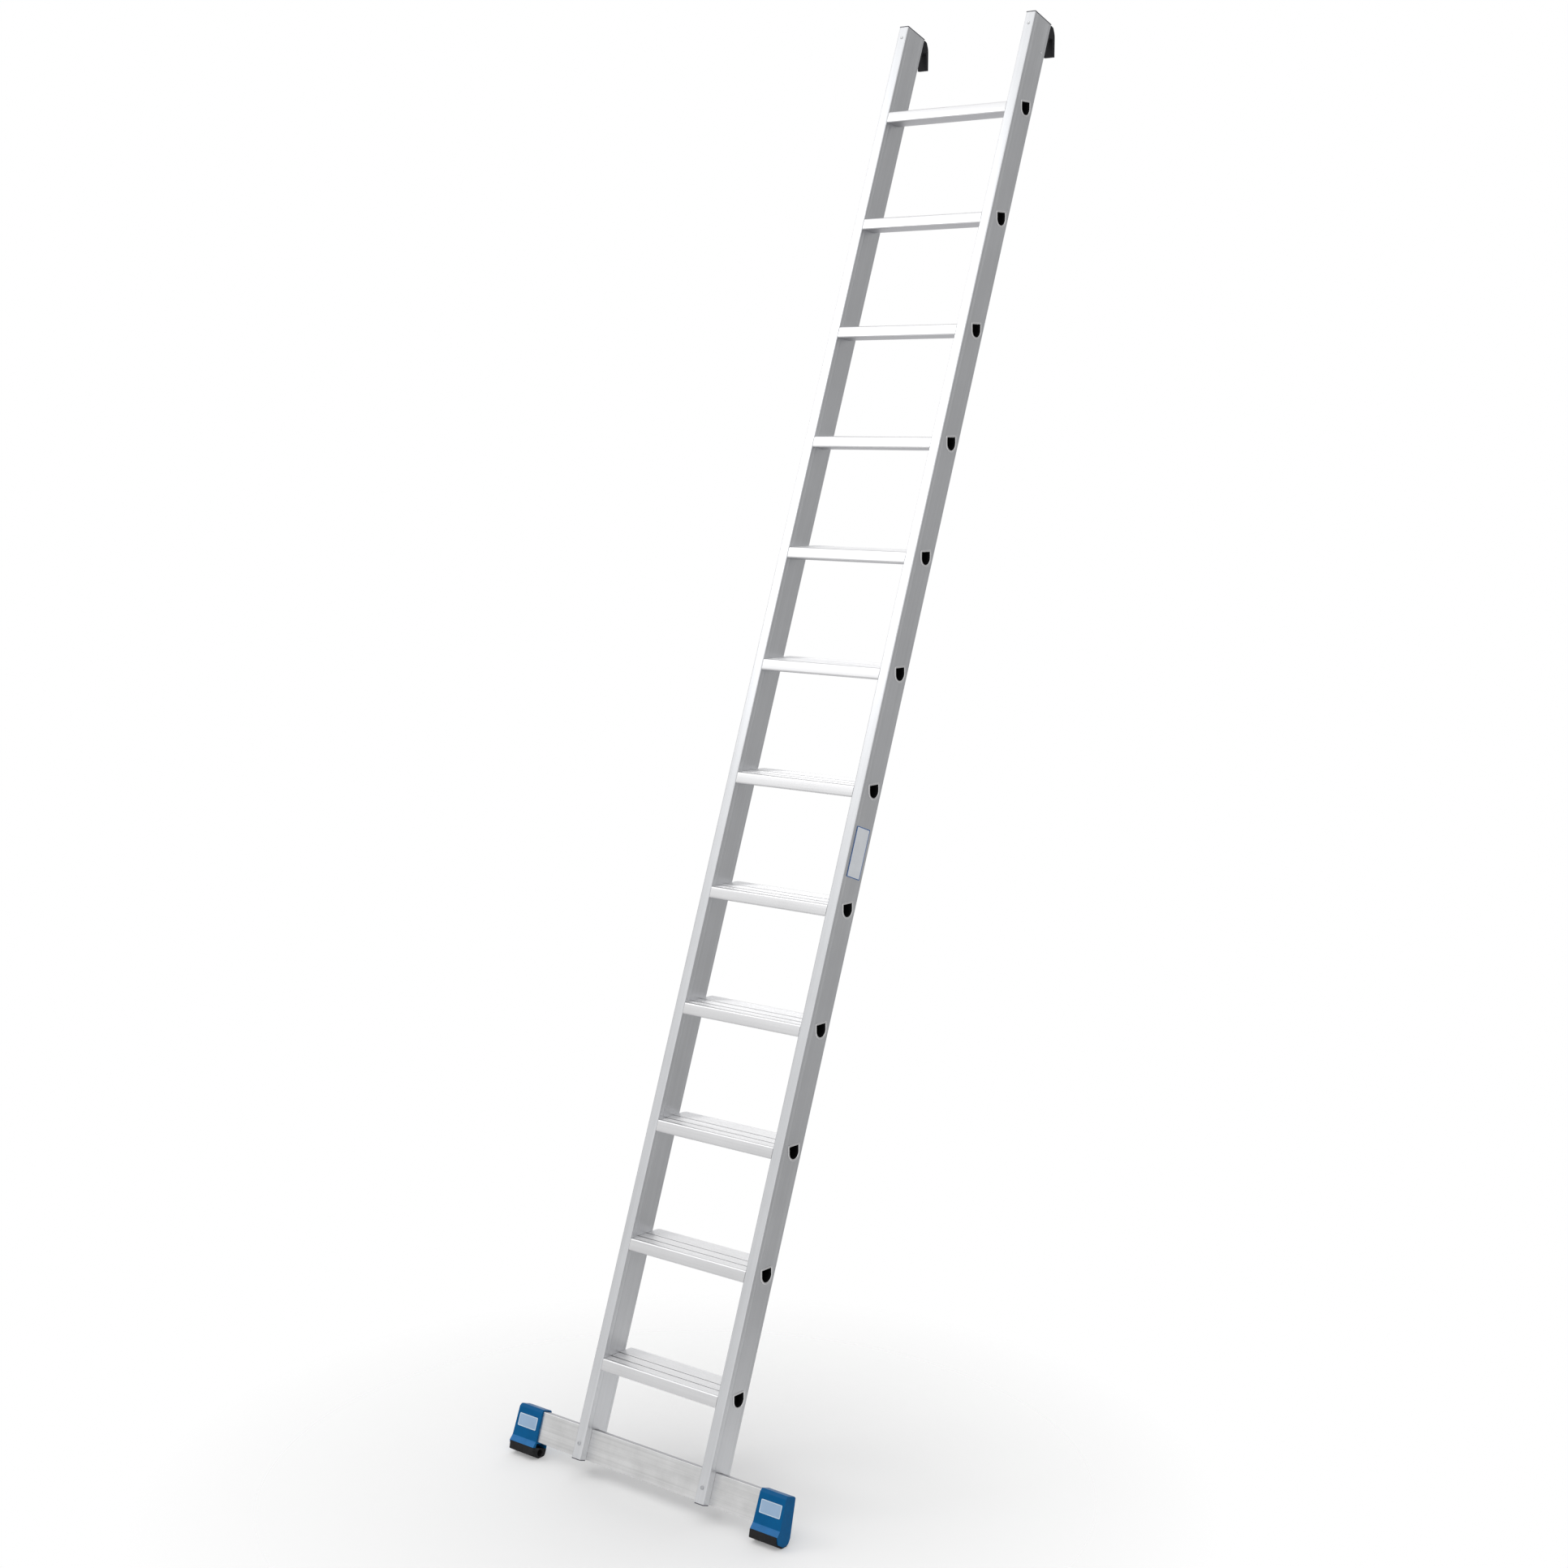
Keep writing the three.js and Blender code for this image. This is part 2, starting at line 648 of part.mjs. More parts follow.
function hook({ name, sign }) {
  const holes = HOOK_RIVET_DROPS.map((drop) =>
    rodY(RIVET.radius + GAP, -STILE.wall, HOOK.plate + STILE.wall, 0, -drop),
  );
  const geometry = cut(extrudeX(hookShape(), -HALF_STILE, HALF_STILE), ...holes);
  const piece = mesh(`hook_${name}`, geometry, BLACK_PLASTIC);
  piece.position.set(sign * STILE_X, HOOK_SEAT.y, HOOK_SEAT.z);
  return piece;
}

function hookRivets({ name, sign }) {
  const seat = STILE.depth + HOOK.plate + 2 * GAP;
  return HOOK_RIVET_DROPS.map((drop, i) => {
    const place = { x: sign * STILE_X, y: seat, z: STILE.length - drop };
    const rivet = headedPin(RIVET, RIVET.hookLength);
    const label = `hook_rivet_${name}_${['upper', 'lower'][i]}`;
    return placePin(label, rivet, ALUMINIUM, place, { x: 0, y: 1 });
  });
}

// ---- Blank plate on the right stile --------------------------------------------------------

function stileLabel() {
  const { width, height, y, z, thickness } = STILE_LABEL;
  const [y0, y1] = [y - width / 2, y + width / 2];
  const [z0, z1] = [z - height / 2, z + height / 2];
  const shape = outline(rectangle(y0, y1, z0, z1, STILE_LABEL.corner));
  const seat = LADDER_WIDTH / 2 + GAP;
  return mesh('stile_label', extrudeX(shape, seat, seat + thickness), PANEL);
}

// ---- The whole ladder --------------------------------------------------------------------

function mesh(name, geometry, finish) {
  const piece = new THREE.Mesh(geometry, new THREE.MeshStandardMaterial(finish));
  piece.name = name;
  return piece;
}

// Leans the ladder back, with the middle of the hooks' roofs at 0.
function lean(pieces) {
  const ladder = new THREE.Group();
  ladder.add(...pieces);
  ladder.rotation.x = -TILT;
  const { roofMiddle } = hookMouth();
  const rail = new THREE.Vector3(0, HOOK_SEAT.y + roofMiddle.y, HOOK_SEAT.z + roofMiddle.z);
  ladder.position.copy(rail.applyEuler(ladder.rotation).negate());
  return ladder;
}

const onBothSides = [stile, barBolt, barWasher, barNut, barEnd, stilePlugs, plugRivets, hook, hookRivets];

const whole = new THREE.Group();
whole.add(lean([
  ...onBothSides.flatMap((make) => SIDES.flatMap(make)),
  ...treads(),
  bar(),
  stileLabel(),
]));

export default whole;
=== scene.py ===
"""The looks of a leaning tread ladder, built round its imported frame.

Sizes are in millimetres in the ladder's own axes: x to the climber's right, y from the stiles'
front faces to their rear faces and z up along the stiles from their feet. A tread's own axes
are level, with their start in the middle of its core tube. Pieces are scaled to metres and
placed when they are made.
"""

import math

import bmesh
import bpy
from mathutils import Matrix, Vector
from mathutils.geometry import tessellate_polygon


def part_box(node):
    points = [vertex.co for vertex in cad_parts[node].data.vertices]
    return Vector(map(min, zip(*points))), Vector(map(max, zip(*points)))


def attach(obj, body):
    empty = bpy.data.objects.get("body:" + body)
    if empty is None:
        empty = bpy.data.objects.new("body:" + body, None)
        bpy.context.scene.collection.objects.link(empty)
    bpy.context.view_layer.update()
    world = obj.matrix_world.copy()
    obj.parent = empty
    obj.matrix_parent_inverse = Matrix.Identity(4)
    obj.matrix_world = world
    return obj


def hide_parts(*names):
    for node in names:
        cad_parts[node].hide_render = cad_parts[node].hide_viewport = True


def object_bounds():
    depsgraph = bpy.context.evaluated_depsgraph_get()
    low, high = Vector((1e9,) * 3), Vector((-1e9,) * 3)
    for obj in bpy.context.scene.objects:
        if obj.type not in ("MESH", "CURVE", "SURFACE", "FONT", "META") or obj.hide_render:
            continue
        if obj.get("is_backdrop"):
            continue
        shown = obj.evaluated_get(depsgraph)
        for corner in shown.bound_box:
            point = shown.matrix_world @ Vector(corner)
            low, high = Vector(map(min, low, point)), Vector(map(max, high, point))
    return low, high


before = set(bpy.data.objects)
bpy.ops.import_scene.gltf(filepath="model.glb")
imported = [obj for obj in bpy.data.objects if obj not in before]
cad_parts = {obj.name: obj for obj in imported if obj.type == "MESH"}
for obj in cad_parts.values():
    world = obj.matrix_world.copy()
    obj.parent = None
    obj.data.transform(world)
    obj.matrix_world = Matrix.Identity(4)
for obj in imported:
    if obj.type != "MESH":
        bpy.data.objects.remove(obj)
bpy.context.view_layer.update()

# ---- Sizes ---------------------------------------------------------------------------------

MM = 0.001
TILT = math.radians(20)
GAP = 0.3
ROUND_STEPS = 6
ROLL_STEPS = 8
DOME_STEPS = 5
RING_POINTS = 24

HALF_WIDTH = 180
STILE = {"length": 3160, "width": 23.5, "depth": 65, "wall": 1.6, "corner": 2.2}
STILE_LINE = {"width": 1.2, "depth": 0.2, "places": (12, 56)}
STILE_X = HALF_WIDTH - STILE["width"] / 2
HALF_STILE = STILE["width"] / 2
CLEAR_HALF_WIDTH = HALF_WIDTH - STILE["width"]
WEB = {"front": 16.4, "back": 18}

TREAD_COUNT = 12
TREAD_PITCH = 250
FIRST_TREAD = 208
CORE = {"y": 39.5, "half": 15, "top": 13.3, "corner": 2, "shoulder": 0, "wall": 2}
BELLY = CORE["shoulder"] - CORE["half"]
FLARE = {
    "width": 3.4, "thickness": 1.1, "roll_inside": -0.6, "throat": 1.2, "throat_inside": -1.3,
    "neck": 4, "bright_rim": 0.7,
}
TREAD = {"top": 13.5, "back": 49.3, "front_inset": 1, "nose_bottom": -9.5, "plate": 2.2, "wall": 2}
LIP = {"depth": 7.5, "wall": 2.4, "edge": 0.9, "plan_corner": 10}
NOSE = {"top": 3, "bottom": 4, "inside": 1}
RIB = {"pitch": 3.1, "width": 1.5, "slope": 0.3, "depth": 0.5}
GROOVE = {"width": 2.6, "depth": 1.3, "slope": 0.2, "places": (-13.7, 11.1)}

BAR = {
    "height": 63.5, "depth": 21, "front": 18.3, "wall": 2, "corner": 1.8, "inner_corner": 0.5,
    "half_length": 361.5,
}
BAR_BACK = BAR["front"] + BAR["depth"]

CAP = {
    "inner_top": 298.5, "inner_bottom": 296.5, "outer_top": 363.5, "outer_bottom": 366.5,
    "front": 14, "top": 67, "bevel_width": 4, "bevel_height": 7, "bevel_round": 1.2,
    "top_back": 43, "top_round": 4, "flare": 5, "flare_top": 0, "flare_round": 4,
    "split": -12, "bottom": -30, "bottom_round": 3, "back": 50.5, "edge": 0.9,
}
TOE = {"y": 16, "z": -26, "round": 2}
HEEL = {"y": 47.5, "z": -25, "round": 5}
KEEL_ROOM = {"front": 17.5, "back": 46.5, "top": -3.3}
SOLE = {
    "inner": 296.8, "outer": 363.8, "front": 11.5, "front_bottom": -29, "front_round": 2,
    "facet_front": 33, "facet_back": 47, "facet_z": -33.8, "heel_rise": 4, "heel_round": 3,
    "edge": 0.7,
}
HOLLOW = {"y": 34, "z": -21.6, "radius": 7.5}
CAP_LABEL = {"width": 52, "height": 26.5, "x": 332, "z": 34.5, "thickness": 0.8, "corner": 2.5}
LABEL = {"rim": 1.5, "dip": 0.2, "smallest_corner": 0.4}
STILE_LABEL = {"width": 44, "height": 106, "y": 33, "z": 1326, "thickness": 0.5, "corner": 2}

HOOK = {
    "plate": 3, "plate_bottom": -60, "plate_round": 1, "mouth": 38, "roof_front_round": 1.2,
    "roof_back_round": 2, "leg": 8.5, "leg_round": 1.5, "edge": 0.8,
}
LEG_BOTTOM = (36, -56)
HOOK_SHOULDER = {"y": 20, "z": -12, "round": 7, "top_back": 9, "top_round": 3}

TOP_PLUG = {
    "overhang": 0.5, "corner": 2, "flange": 1.8, "edge": 0.5, "front_stem": 36, "main_stem": 82,
}
FOOT_PLUG = {"flange": 1.8, "edge": 0.5, "stem": 12}
BOLT = {
    "z": 31, "radius": 3, "head": 4.4, "height": 2.2, "tail": 2, "point": 0.6, "point_length": 0.8,
    "socket": 2, "socket_depth": 1.4, "socket_land": 0.6,
}
NUT = {"across": 10, "height": 5, "chamfer": 0.2, "chamfer_height": 0.6}
WASHER = {"radius": 6.5, "thickness": 1.2, "ease": 0.25}
RIVET = {
    "radius": 1.6, "head": 3.4, "height": 1.2, "length": 6.5, "hook_length": 9.5, "pin": 1.1,
    "pin_land": 0.22, "pin_root": 0.5, "pin_end": 0.25, "pin_taper": 0.11,
}
FRONT_RIVET_DROP = 25
SIDE_RIVET = {"drop": 69.5, "y": 52.5}
HOOK_RIVET_DROPS = {"upper": 38, "lower": 52}

SIDES = {"left": -1, "right": 1}
LEVEL_BACK = Vector((math.cos(TILT), math.sin(TILT)))
PLUMB_DOWN = Vector((math.sin(TILT), -math.cos(TILT)))


def ladder_axes():
    """The ladder's own axes in the frame, found from the lowest tread's box."""
    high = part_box("tread_01")[1]
    core_back = high.y - TREAD["back"] * MM
    core_height = high.z - (CORE["top"] + FLARE["width"]) * MM
    turn = Matrix.Rotation(-TILT, 4, "X")
    foot = Vector((0, core_back, core_height)) - turn @ Vector((0, CORE["y"], FIRST_TREAD)) * MM
    return Matrix.Translation(foot) @ turn


LADDER = ladder_axes()


def tread_axes(number):
    along = FIRST_TREAD + (number - 1) * TREAD_PITCH
    core = LADDER @ (Vector((0, CORE["y"], along)) * MM)
    return Matrix.Translation(core)


# ---- Outlines ------------------------------------------------------------------------------


def outline(*corners):
    """The points of a closed outline. A corner is (x, y) or (x, y, round), and a rounded one is
    a curve that starts and ends its own round away from it."""
    spots = [Vector(c[:2]) for c in corners]
    points = []
    for i, (here, given) in enumerate(zip(spots, corners)):
        if len(given) == 2:
            points.append(here)
            continue
        enter = here + (spots[i - 1] - here).normalized() * given[2]
        leave = here + (spots[(i + 1) % len(spots)] - here).normalized() * given[2]
        for step in range(ROUND_STEPS + 1):
            t = step / ROUND_STEPS
            points.append((1 - t) ** 2 * enter + 2 * t * (1 - t) * here + t**2 * leave)
    return points


def rectangle(x0, x1, y0, y1, round_by=None):
    extra = () if round_by is None else (round_by,)
    return outline((x0, y0, *extra), (x1, y0, *extra), (x1, y1, *extra), (x0, y1, *extra))


def circle(x, y, radius, points=RING_POINTS):
    turns = (2 * math.pi * i / points for i in range(points))
    return [Vector((x + radius * math.cos(a), y + radius * math.sin(a))) for a in turns]


def core_outline(grow=0.0):
    """The core tube's section: round below, straight up the sides and flat on top."""
    half = CORE["half"] + grow
    top = CORE["top"] + grow
    corner = CORE["corner"] + max(grow, -1)
    belly = []
    for i in range(RING_POINTS + 1):
        angle = math.pi + math.pi * i / RING_POINTS
        belly.append((half * math.cos(angle), CORE["shoulder"] + half * math.sin(angle)))
    return outline(*belly, (half, top, corner), (-half, top, corner))


# ---- Meshes --------------------------------------------------------------------------------

# Where an outline's own two directions and the way along it point.
ALONG = {
    "x": lambda u, v, w: (w, u, v),
    "y": lambda u, v, w: (u, w, v),
    "z": lambda u, v, w: (u, v, w),
}


def prism(axis, shape, start, end, holes=()):
    """A closed solid that runs along an axis, with the outline as its section."""
    bm = bmesh.new()
    loops = [shape, *holes]
    flat = [point for loop in loops for point in loop]
    rows = [[bm.verts.new(ALONG[axis](u, v, w)) for u, v in flat] for w in (start, end)]
    if holes:
        caps = tessellate_polygon([[Vector((u, v, 0)) for u, v in loop] for loop in loops])
    else:
        caps = [range(len(flat))]
    for row in rows:
        for cap in caps:
            bm.faces.new([row[i] for i in cap])
    first = 0
    for loop in loops:
        for i in range(len(loop)):
            a, b = first + i, first + (i + 1) % len(loop)
            bm.faces.new((rows[0][a], rows[0][b], rows[1][b], rows[1][a]))
        first += len(loop)
    bmesh.ops.recalc_face_normals(bm, faces=bm.faces)
    return bm


def block(x0, x1, y0, y1, z0, z1):
    return prism("z", rectangle(min(x0, x1), max(x0, x1), y0, y1), z0, z1)


def loft(rings, closed=False):
    """A solid through rings with the same number of points. A closed one joins its last ring to
    its first, and any other has a flat face on each end."""
    bm = bmesh.new()
    rows = [[bm.verts.new(point) for point in ring] for ring in rings]
    pairs = list(zip(rows, rows[1:]))
    if closed:
        pairs.append((rows[-1], rows[0]))
    else:
        bm.faces.new(rows[0])
        bm.faces.new(rows[-1])
    for near, far in pairs:
        for i in range(len(near)):
            j = (i + 1) % len(near)
            bm.faces.new((near[i], near[j], far[j], far[i]))
    bmesh.ops.recalc_face_normals(bm, faces=bm.faces)
    return bm


def joined(*parts):
    """One mesh that holds all the parts."""
    whole = bmesh.new()
    for part in parts:
        mesh = mesh_of("part", part)
        whole.from_mesh(mesh)
        bpy.data.meshes.remove(mesh)
    return whole


def mesh_of(name, bm):
    mesh = bpy.data.meshes.new(name)
    bm.to_mesh(mesh)
    bm.free()
    return mesh


def combined(first, second, operation):
    """The boolean of two closed solids."""
    ends = []
    for part in (first, second):
        holder = bpy.data.objects.new("part", mesh_of("part", part))
        bpy.context.scene.collection.objects.link(holder)
        ends.append(holder)
    step = ends[0].modifiers.new("combine", "BOOLEAN")
    step.object = ends[1]
    step.operation = operation
    step.solver = "MANIFOLD"
    result = bmesh.new()
    result.from_object(ends[0], bpy.context.evaluated_depsgraph_get())
    for holder in ends:
        mesh = holder.data
        bpy.data.objects.remove(holder)
        bpy.data.meshes.remove(mesh)
    return result


def cut(solid, *tools):
    for tool in tools:
        solid = combined(solid, tool, "DIFFERENCE")
    return solid


SMOOTH_ANGLE = math.radians(32)
EDGE_STEPS = 3


def piece(node, bm, material, axes=None, edge=0.0, chosen=None):
    """Makes the finished piece that stands for a CAD node, with its edges rounded if edge is set.
    From a face's middle and normal, chosen says which of the materials it takes."""
    materials = material if isinstance(material, tuple) else (material,)
    if chosen:
        bm.normal_update()
        for face in bm.faces:
            face.material_index = chosen(face.calc_center_median(), face.normal)
    bmesh.ops.scale(bm, vec=(MM, MM, MM), verts=bm.verts)
    mesh = mesh_of(f"{node}_finished", bm)
    for each in materials:
        mesh.materials.append(each)
    mesh.transform(axes or LADDER)
    mesh.shade_smooth()
    mesh.set_sharp_from_angle(angle=SMOOTH_ANGLE)
    made = bpy.data.objects.new(mesh.name, mesh)
    bpy.context.scene.collection.objects.link(made)
    if edge:
        bevel = made.modifiers.new("rounded edges", "BEVEL")
        bevel.width = edge * MM
        bevel.segments = EDGE_STEPS
        bevel.limit_method = "ANGLE"
        bevel.angle_limit = SMOOTH_ANGLE
        bevel.use_clamp_overlap = True
        bevel.harden_normals = True
    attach(made, "root")
    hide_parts(node)


def moved(bm, x=0.0, y=0.0, z=0.0):
    bmesh.ops.translate(bm, vec=(x, y, z), verts=bm.verts)
    return bm


# ---- Materials -----------------------------------------------------------------------------


class Finish:
    """Builds one node material. Patterns are laid out in the ladder's own directions, in metres."""

    def __init__(self, name, colour, roughness, metallic=0.0):
        self.material = bpy.data.materials.new(name)
        self.material.use_nodes = True
        self.tree = self.material.node_tree
        self.shader = self.tree.nodes["Principled BSDF"]
        self.colour = colour
        self.roughness = roughness
        self.set(self.shader, "Base Color", (*colour, 1))
        self.set(self.shader, "Roughness", roughness)
        self.set(self.shader, "Metallic", metallic)
        place = self.tree.nodes.new("ShaderNodeNewGeometry")
        upright = self.tree.nodes.new("ShaderNodeMapping")
        upright.inputs["Rotation"].default_value = (TILT, 0, 0)
        self.join(place.outputs["Position"], upright.inputs["Vector"])
        self.place = upright.outputs["Vector"]

    def set(self, node, socket, value):
        node.inputs[socket].default_value = value

    def join(self, source, target):
        self.tree.links.new(source, target)

    def noise(self, per_metre, detail=3.0, rough=0.55):
        """Noise with its own number of features a metre along x, y and z, from 0 to 1."""
        stretch = self.tree.nodes.new("ShaderNodeMapping")
        self.set(stretch, "Scale", per_metre)
        self.join(self.place, stretch.inputs["Vector"])
        pattern = self.tree.nodes.new("ShaderNodeTexNoise")
        self.set(pattern, "Scale", 1.0)
        self.set(pattern, "Detail", detail)
        self.set(pattern, "Roughness", rough)
        self.join(stretch.outputs["Vector"], pattern.inputs["Vector"])
        return pattern.outputs["Fac"]

    def range(self, value, low, high, start=0.3, end=0.7):
        """The value with its span from start to end spread over low to high."""
        spread = self.tree.nodes.new("ShaderNodeMapRange")
        self.join(value, spread.inputs["Value"])
        self.set(spread, "From Min", start)
        self.set(spread, "From Max", end)
        self.set(spread, "To Min", low)
        self.set(spread, "To Max", high)
        return spread.outputs["Result"]

    def combine(self, operation, first, second):
        maths = self.tree.nodes.new("ShaderNodeMath")
        maths.operation = operation
        for socket, value in zip(maths.inputs, (first, second)):
            if isinstance(value, (int, float)):
                socket.default_value = value
            else:
                self.join(value, socket)
        return maths.outputs["Value"]

    def shade(self, factor, dark, light):
        """Colours the surface from dark to light by the factor. Both are shares of its colour."""
        mix = self.tree.nodes.new("ShaderNodeMix")
        mix.data_type = "RGBA"
        self.join(factor, mix.inputs["Factor"])
        low, high = (s for s in mix.inputs if s.name in "AB" and s.type == "RGBA")
        low.default_value = (*(dark * c for c in self.colour), 1)
        high.default_value = (*(light * c for c in self.colour), 1)
        result = next(s for s in mix.outputs if s.type == "RGBA")
        self.join(result, self.shader.inputs["Base Color"])

    def vary_roughness(self, value, spread):
        low, high = self.roughness - spread, self.roughness + spread
        self.join(self.range(value, low, high), self.shader.inputs["Roughness"])

    def relief(self, height, depth):
        """Raises the surface by up to depth metres."""
        bump = self.tree.nodes.new("ShaderNodeBump")
        self.set(bump, "Distance", depth)
        self.join(height, bump.inputs["Height"])
        self.join(bump.outputs["Normal"], self.shader.inputs["Normal"])


def drawn_aluminium(name, colour, roughness, fine, streaks, blotch=6.0, contrast=0.06):
    """Mill-finish extruded aluminium: fine die lines, broader streaks and a faint cloudy bloom."""
    finish = Finish(name, colour, roughness, metallic=1.0)
    lines = finish.noise(fine, detail=2.0)
    bands = finish.noise(streaks, detail=4.0)
    cloud = finish.noise((blotch, blotch, blotch), detail=5.0, rough=0.6)
    tone = finish.combine("MULTIPLY", finish.combine("ADD", bands, cloud), 0.5)
    finish.shade(
        finish.range(tone, 0, 1, 0.35, 0.65), dark=1 - contrast, light=1 + contrast / 3
    )
    finish.vary_roughness(tone, spread=0.06)
    soft_bands = finish.combine("MULTIPLY", bands, 0.6)
    finish.relief(finish.combine("ADD", lines, soft_bands), depth=0.00006)
    return finish.material


def moulded_plastic(name, colour, roughness, specular):
    """Moulded plastic with a fine spark-eroded grain and slightly scuffed patches."""
    finish = Finish(name, colour, roughness)
    finish.set(finish.shader, "Specular IOR Level", specular)
    grain = finish.noise((1400, 1400, 1400), detail=2.0)
    scuffs = finish.noise((55, 55, 55), detail=6.0, rough=0.7)
    finish.shade(finish.range(scuffs, 0, 1), dark=0.9, light=1.08)
    finish.vary_roughness(scuffs, spread=0.07)
    finish.relief(grain, depth=0.00003)
    return finish.material


def matt_rubber():
    """Black rubber with a fine grain and a little dust."""
    finish = Finish("matt_rubber", (0.017, 0.017, 0.018), 0.8)
    finish.set(finish.shader, "Specular IOR Level", 0.2)
    dust = finish.noise((90, 90, 90), detail=8.0, rough=0.75)
    grain = finish.noise((900, 900, 900), detail=3.0)
    finish.shade(finish.range(dust, 0, 1, 0.4, 0.75), dark=0.8, light=1.7)
    finish.vary_roughness(dust, spread=0.08)
    finish.relief(finish.combine("ADD", grain, dust), depth=0.00008)
    return finish.material


def zinc_steel():
    """Zinc plate: a fine bright grain with cloudy passivation."""
    finish = Finish("zinc_steel", (0.60, 0.61, 0.63), 0.34, metallic=1.0)
    grain = finish.noise((1600, 1600, 1600), detail=2.0)
    cloud = finish.noise((260, 260, 260), detail=4.0)
    finish.shade(finish.range(cloud, 0, 1), dark=0.8, light=1.05)
    finish.vary_roughness(cloud, spread=0.08)
    finish.relief(grain, depth=0.00003)
    return finish.material


def printed_panel(name, colour):
    """A blank printed label: satin film with faint ripples from the surface under it."""
    finish = Finish(name, colour, 0.38)
    ripple = finish.noise((160, 160, 60), detail=3.0)
    fade = finish.noise((30, 30, 30), detail=4.0)
    finish.shade(finish.range(fade, 0, 1), dark=0.94, light=1.03)
    finish.vary_roughness(fade, spread=0.05)
    finish.relief(ripple, depth=0.00005)
    return finish.material


UP_THE_STILE = {"fine": (1500, 1500, 9), "streaks": (260, 260, 2.5)}
ACROSS_THE_LADDER = {"fine": (9, 1500, 1500), "streaks": (2.5, 260, 260)}

STILE_METAL = drawn_aluminium("stile_aluminium", (0.78, 0.79, 0.81), 0.36, **UP_THE_STILE)
TREAD_METAL = drawn_aluminium("tread_aluminium", (0.83, 0.83, 0.84), 0.40, **ACROSS_THE_LADDER)
BAR_METAL = drawn_aluminium(
    "bar_aluminium", (0.80, 0.80, 0.80), 0.38, **ACROSS_THE_LADDER, blotch=22.0, contrast=0.16
)
# Painted shade: the treads' undersides and the bar's top take a darker copy of the aluminium in
# place of the shade they lie in. A face is one of them if its normal's part up or down is more than
# the share.
SHADED_METAL = drawn_aluminium("painted_shade_aluminium", (0.44, 0.44, 0.46), 0.5, **ACROSS_THE_LADDER)
SHADED_FACE_SHARE = 0.7
RIVET_METAL = drawn_aluminium("rivet_aluminium", (0.78, 0.79, 0.80), 0.33, **UP_THE_STILE)
# Painted shade: the bore of a tread's core tube, which is in deep shade, is coloured near-black.
BORE_SHADE_METAL = drawn_aluminium(
    "painted_bore_shade", (0.02, 0.02, 0.022), 0.7, **ACROSS_THE_LADDER, contrast=0.3
)
STEEL = zinc_steel()
BLACK_PLASTIC = moulded_plastic("black_plastic", (0.015, 0.015, 0.018), 0.52, specular=0.22)
GREY_PLASTIC = moulded_plastic("grey_plastic", (0.09, 0.088, 0.11), 0.5, specular=0.3)
BLUE_PLASTIC = moulded_plastic("blue_plastic", (0.0, 0.1, 0.27), 0.36, specular=0.1)
# Painted highlight: the flare at the foot of each cap is coloured a lighter blue for the light it
# catches from above.
HIGHLIT_BLUE_PLASTIC = moulded_plastic("painted_highlight_blue_plastic", (0.03, 0.17, 0.42), 0.36, specular=0.1)
RUBBER = matt_rubber()
PALE_PANEL = printed_panel("pale_panel", (0.33, 0.47, 0.65))
WHITE_PANEL = printed_panel("white_panel", (0.78, 0.81, 0.85))
PALE_RIM = printed_panel("pale_rim", (0.62, 0.74, 0.86))
BLUE_PRINT = printed_panel("blue_print", (0.02, 0.13, 0.40))


# ---- Stiles --------------------------------------------------------------------------------


def stile_outline():
    half, depth, corner = HALF_STILE, STILE["depth"], STILE["corner"]
    spread = STILE_LINE["width"] / 2

    def side(sign):
        edge = sign * half
        points = [(edge, 0, corner)]
        for y in STILE_LINE["places"]:
            bottom = (edge - sign * STILE_LINE["depth"], y)
            points += [(edge, y - spread), bottom, (edge, y + spread)]
        return [*points, (edge, depth, corner)]

    return outline(*reversed(side(-1)), *side(1))


def stile(side, sign):
    inside = HALF_STILE - STILE["wall"]
    front_chamber = rectangle(-inside, inside, STILE["wall"], WEB["front"])
    main_chamber = rectangle(-inside, inside, WEB["back"], STILE["depth"] - STILE["wall"])
    section = prism("z", stile_outline(), 0, STILE["length"], (front_chamber, main_chamber))
    far = STILE["width"]
    holes = []
    for number in range(TREAD_COUNT):
        hole = prism("x", core_outline(GAP), -far, far)
        bmesh.ops.rotate(hole, matrix=Matrix.Rotation(TILT, 3, "X"), verts=hole.verts)
        holes.append(moved(hole, y=CORE["y"], z=FIRST_TREAD + number * TREAD_PITCH))
    slot = block(-far, far, WEB["back"], BAR_BACK + GAP, -far, BAR["height"] + GAP)
    bolt_way = prism("y", circle(0, BOLT["z"], BOLT["radius"] + GAP), -far, STILE["depth"] + far)
    bm = cut(section, joined(*holes), slot, bolt_way)
    piece(f"stile_{side}", moved(bm, x=sign * STILE_X), STILE_METAL)


# ---- Treads --------------------------------------------------------------------------------


def tread_front(z, inset=0.0):
    """How far in front of the core the tread's front is. It is parallel to the stiles' fronts."""
    from_stile_front = TREAD["front_inset"] + inset - CORE["y"]
    return (from_stile_front + z * math.sin(TILT)) / math.cos(TILT)


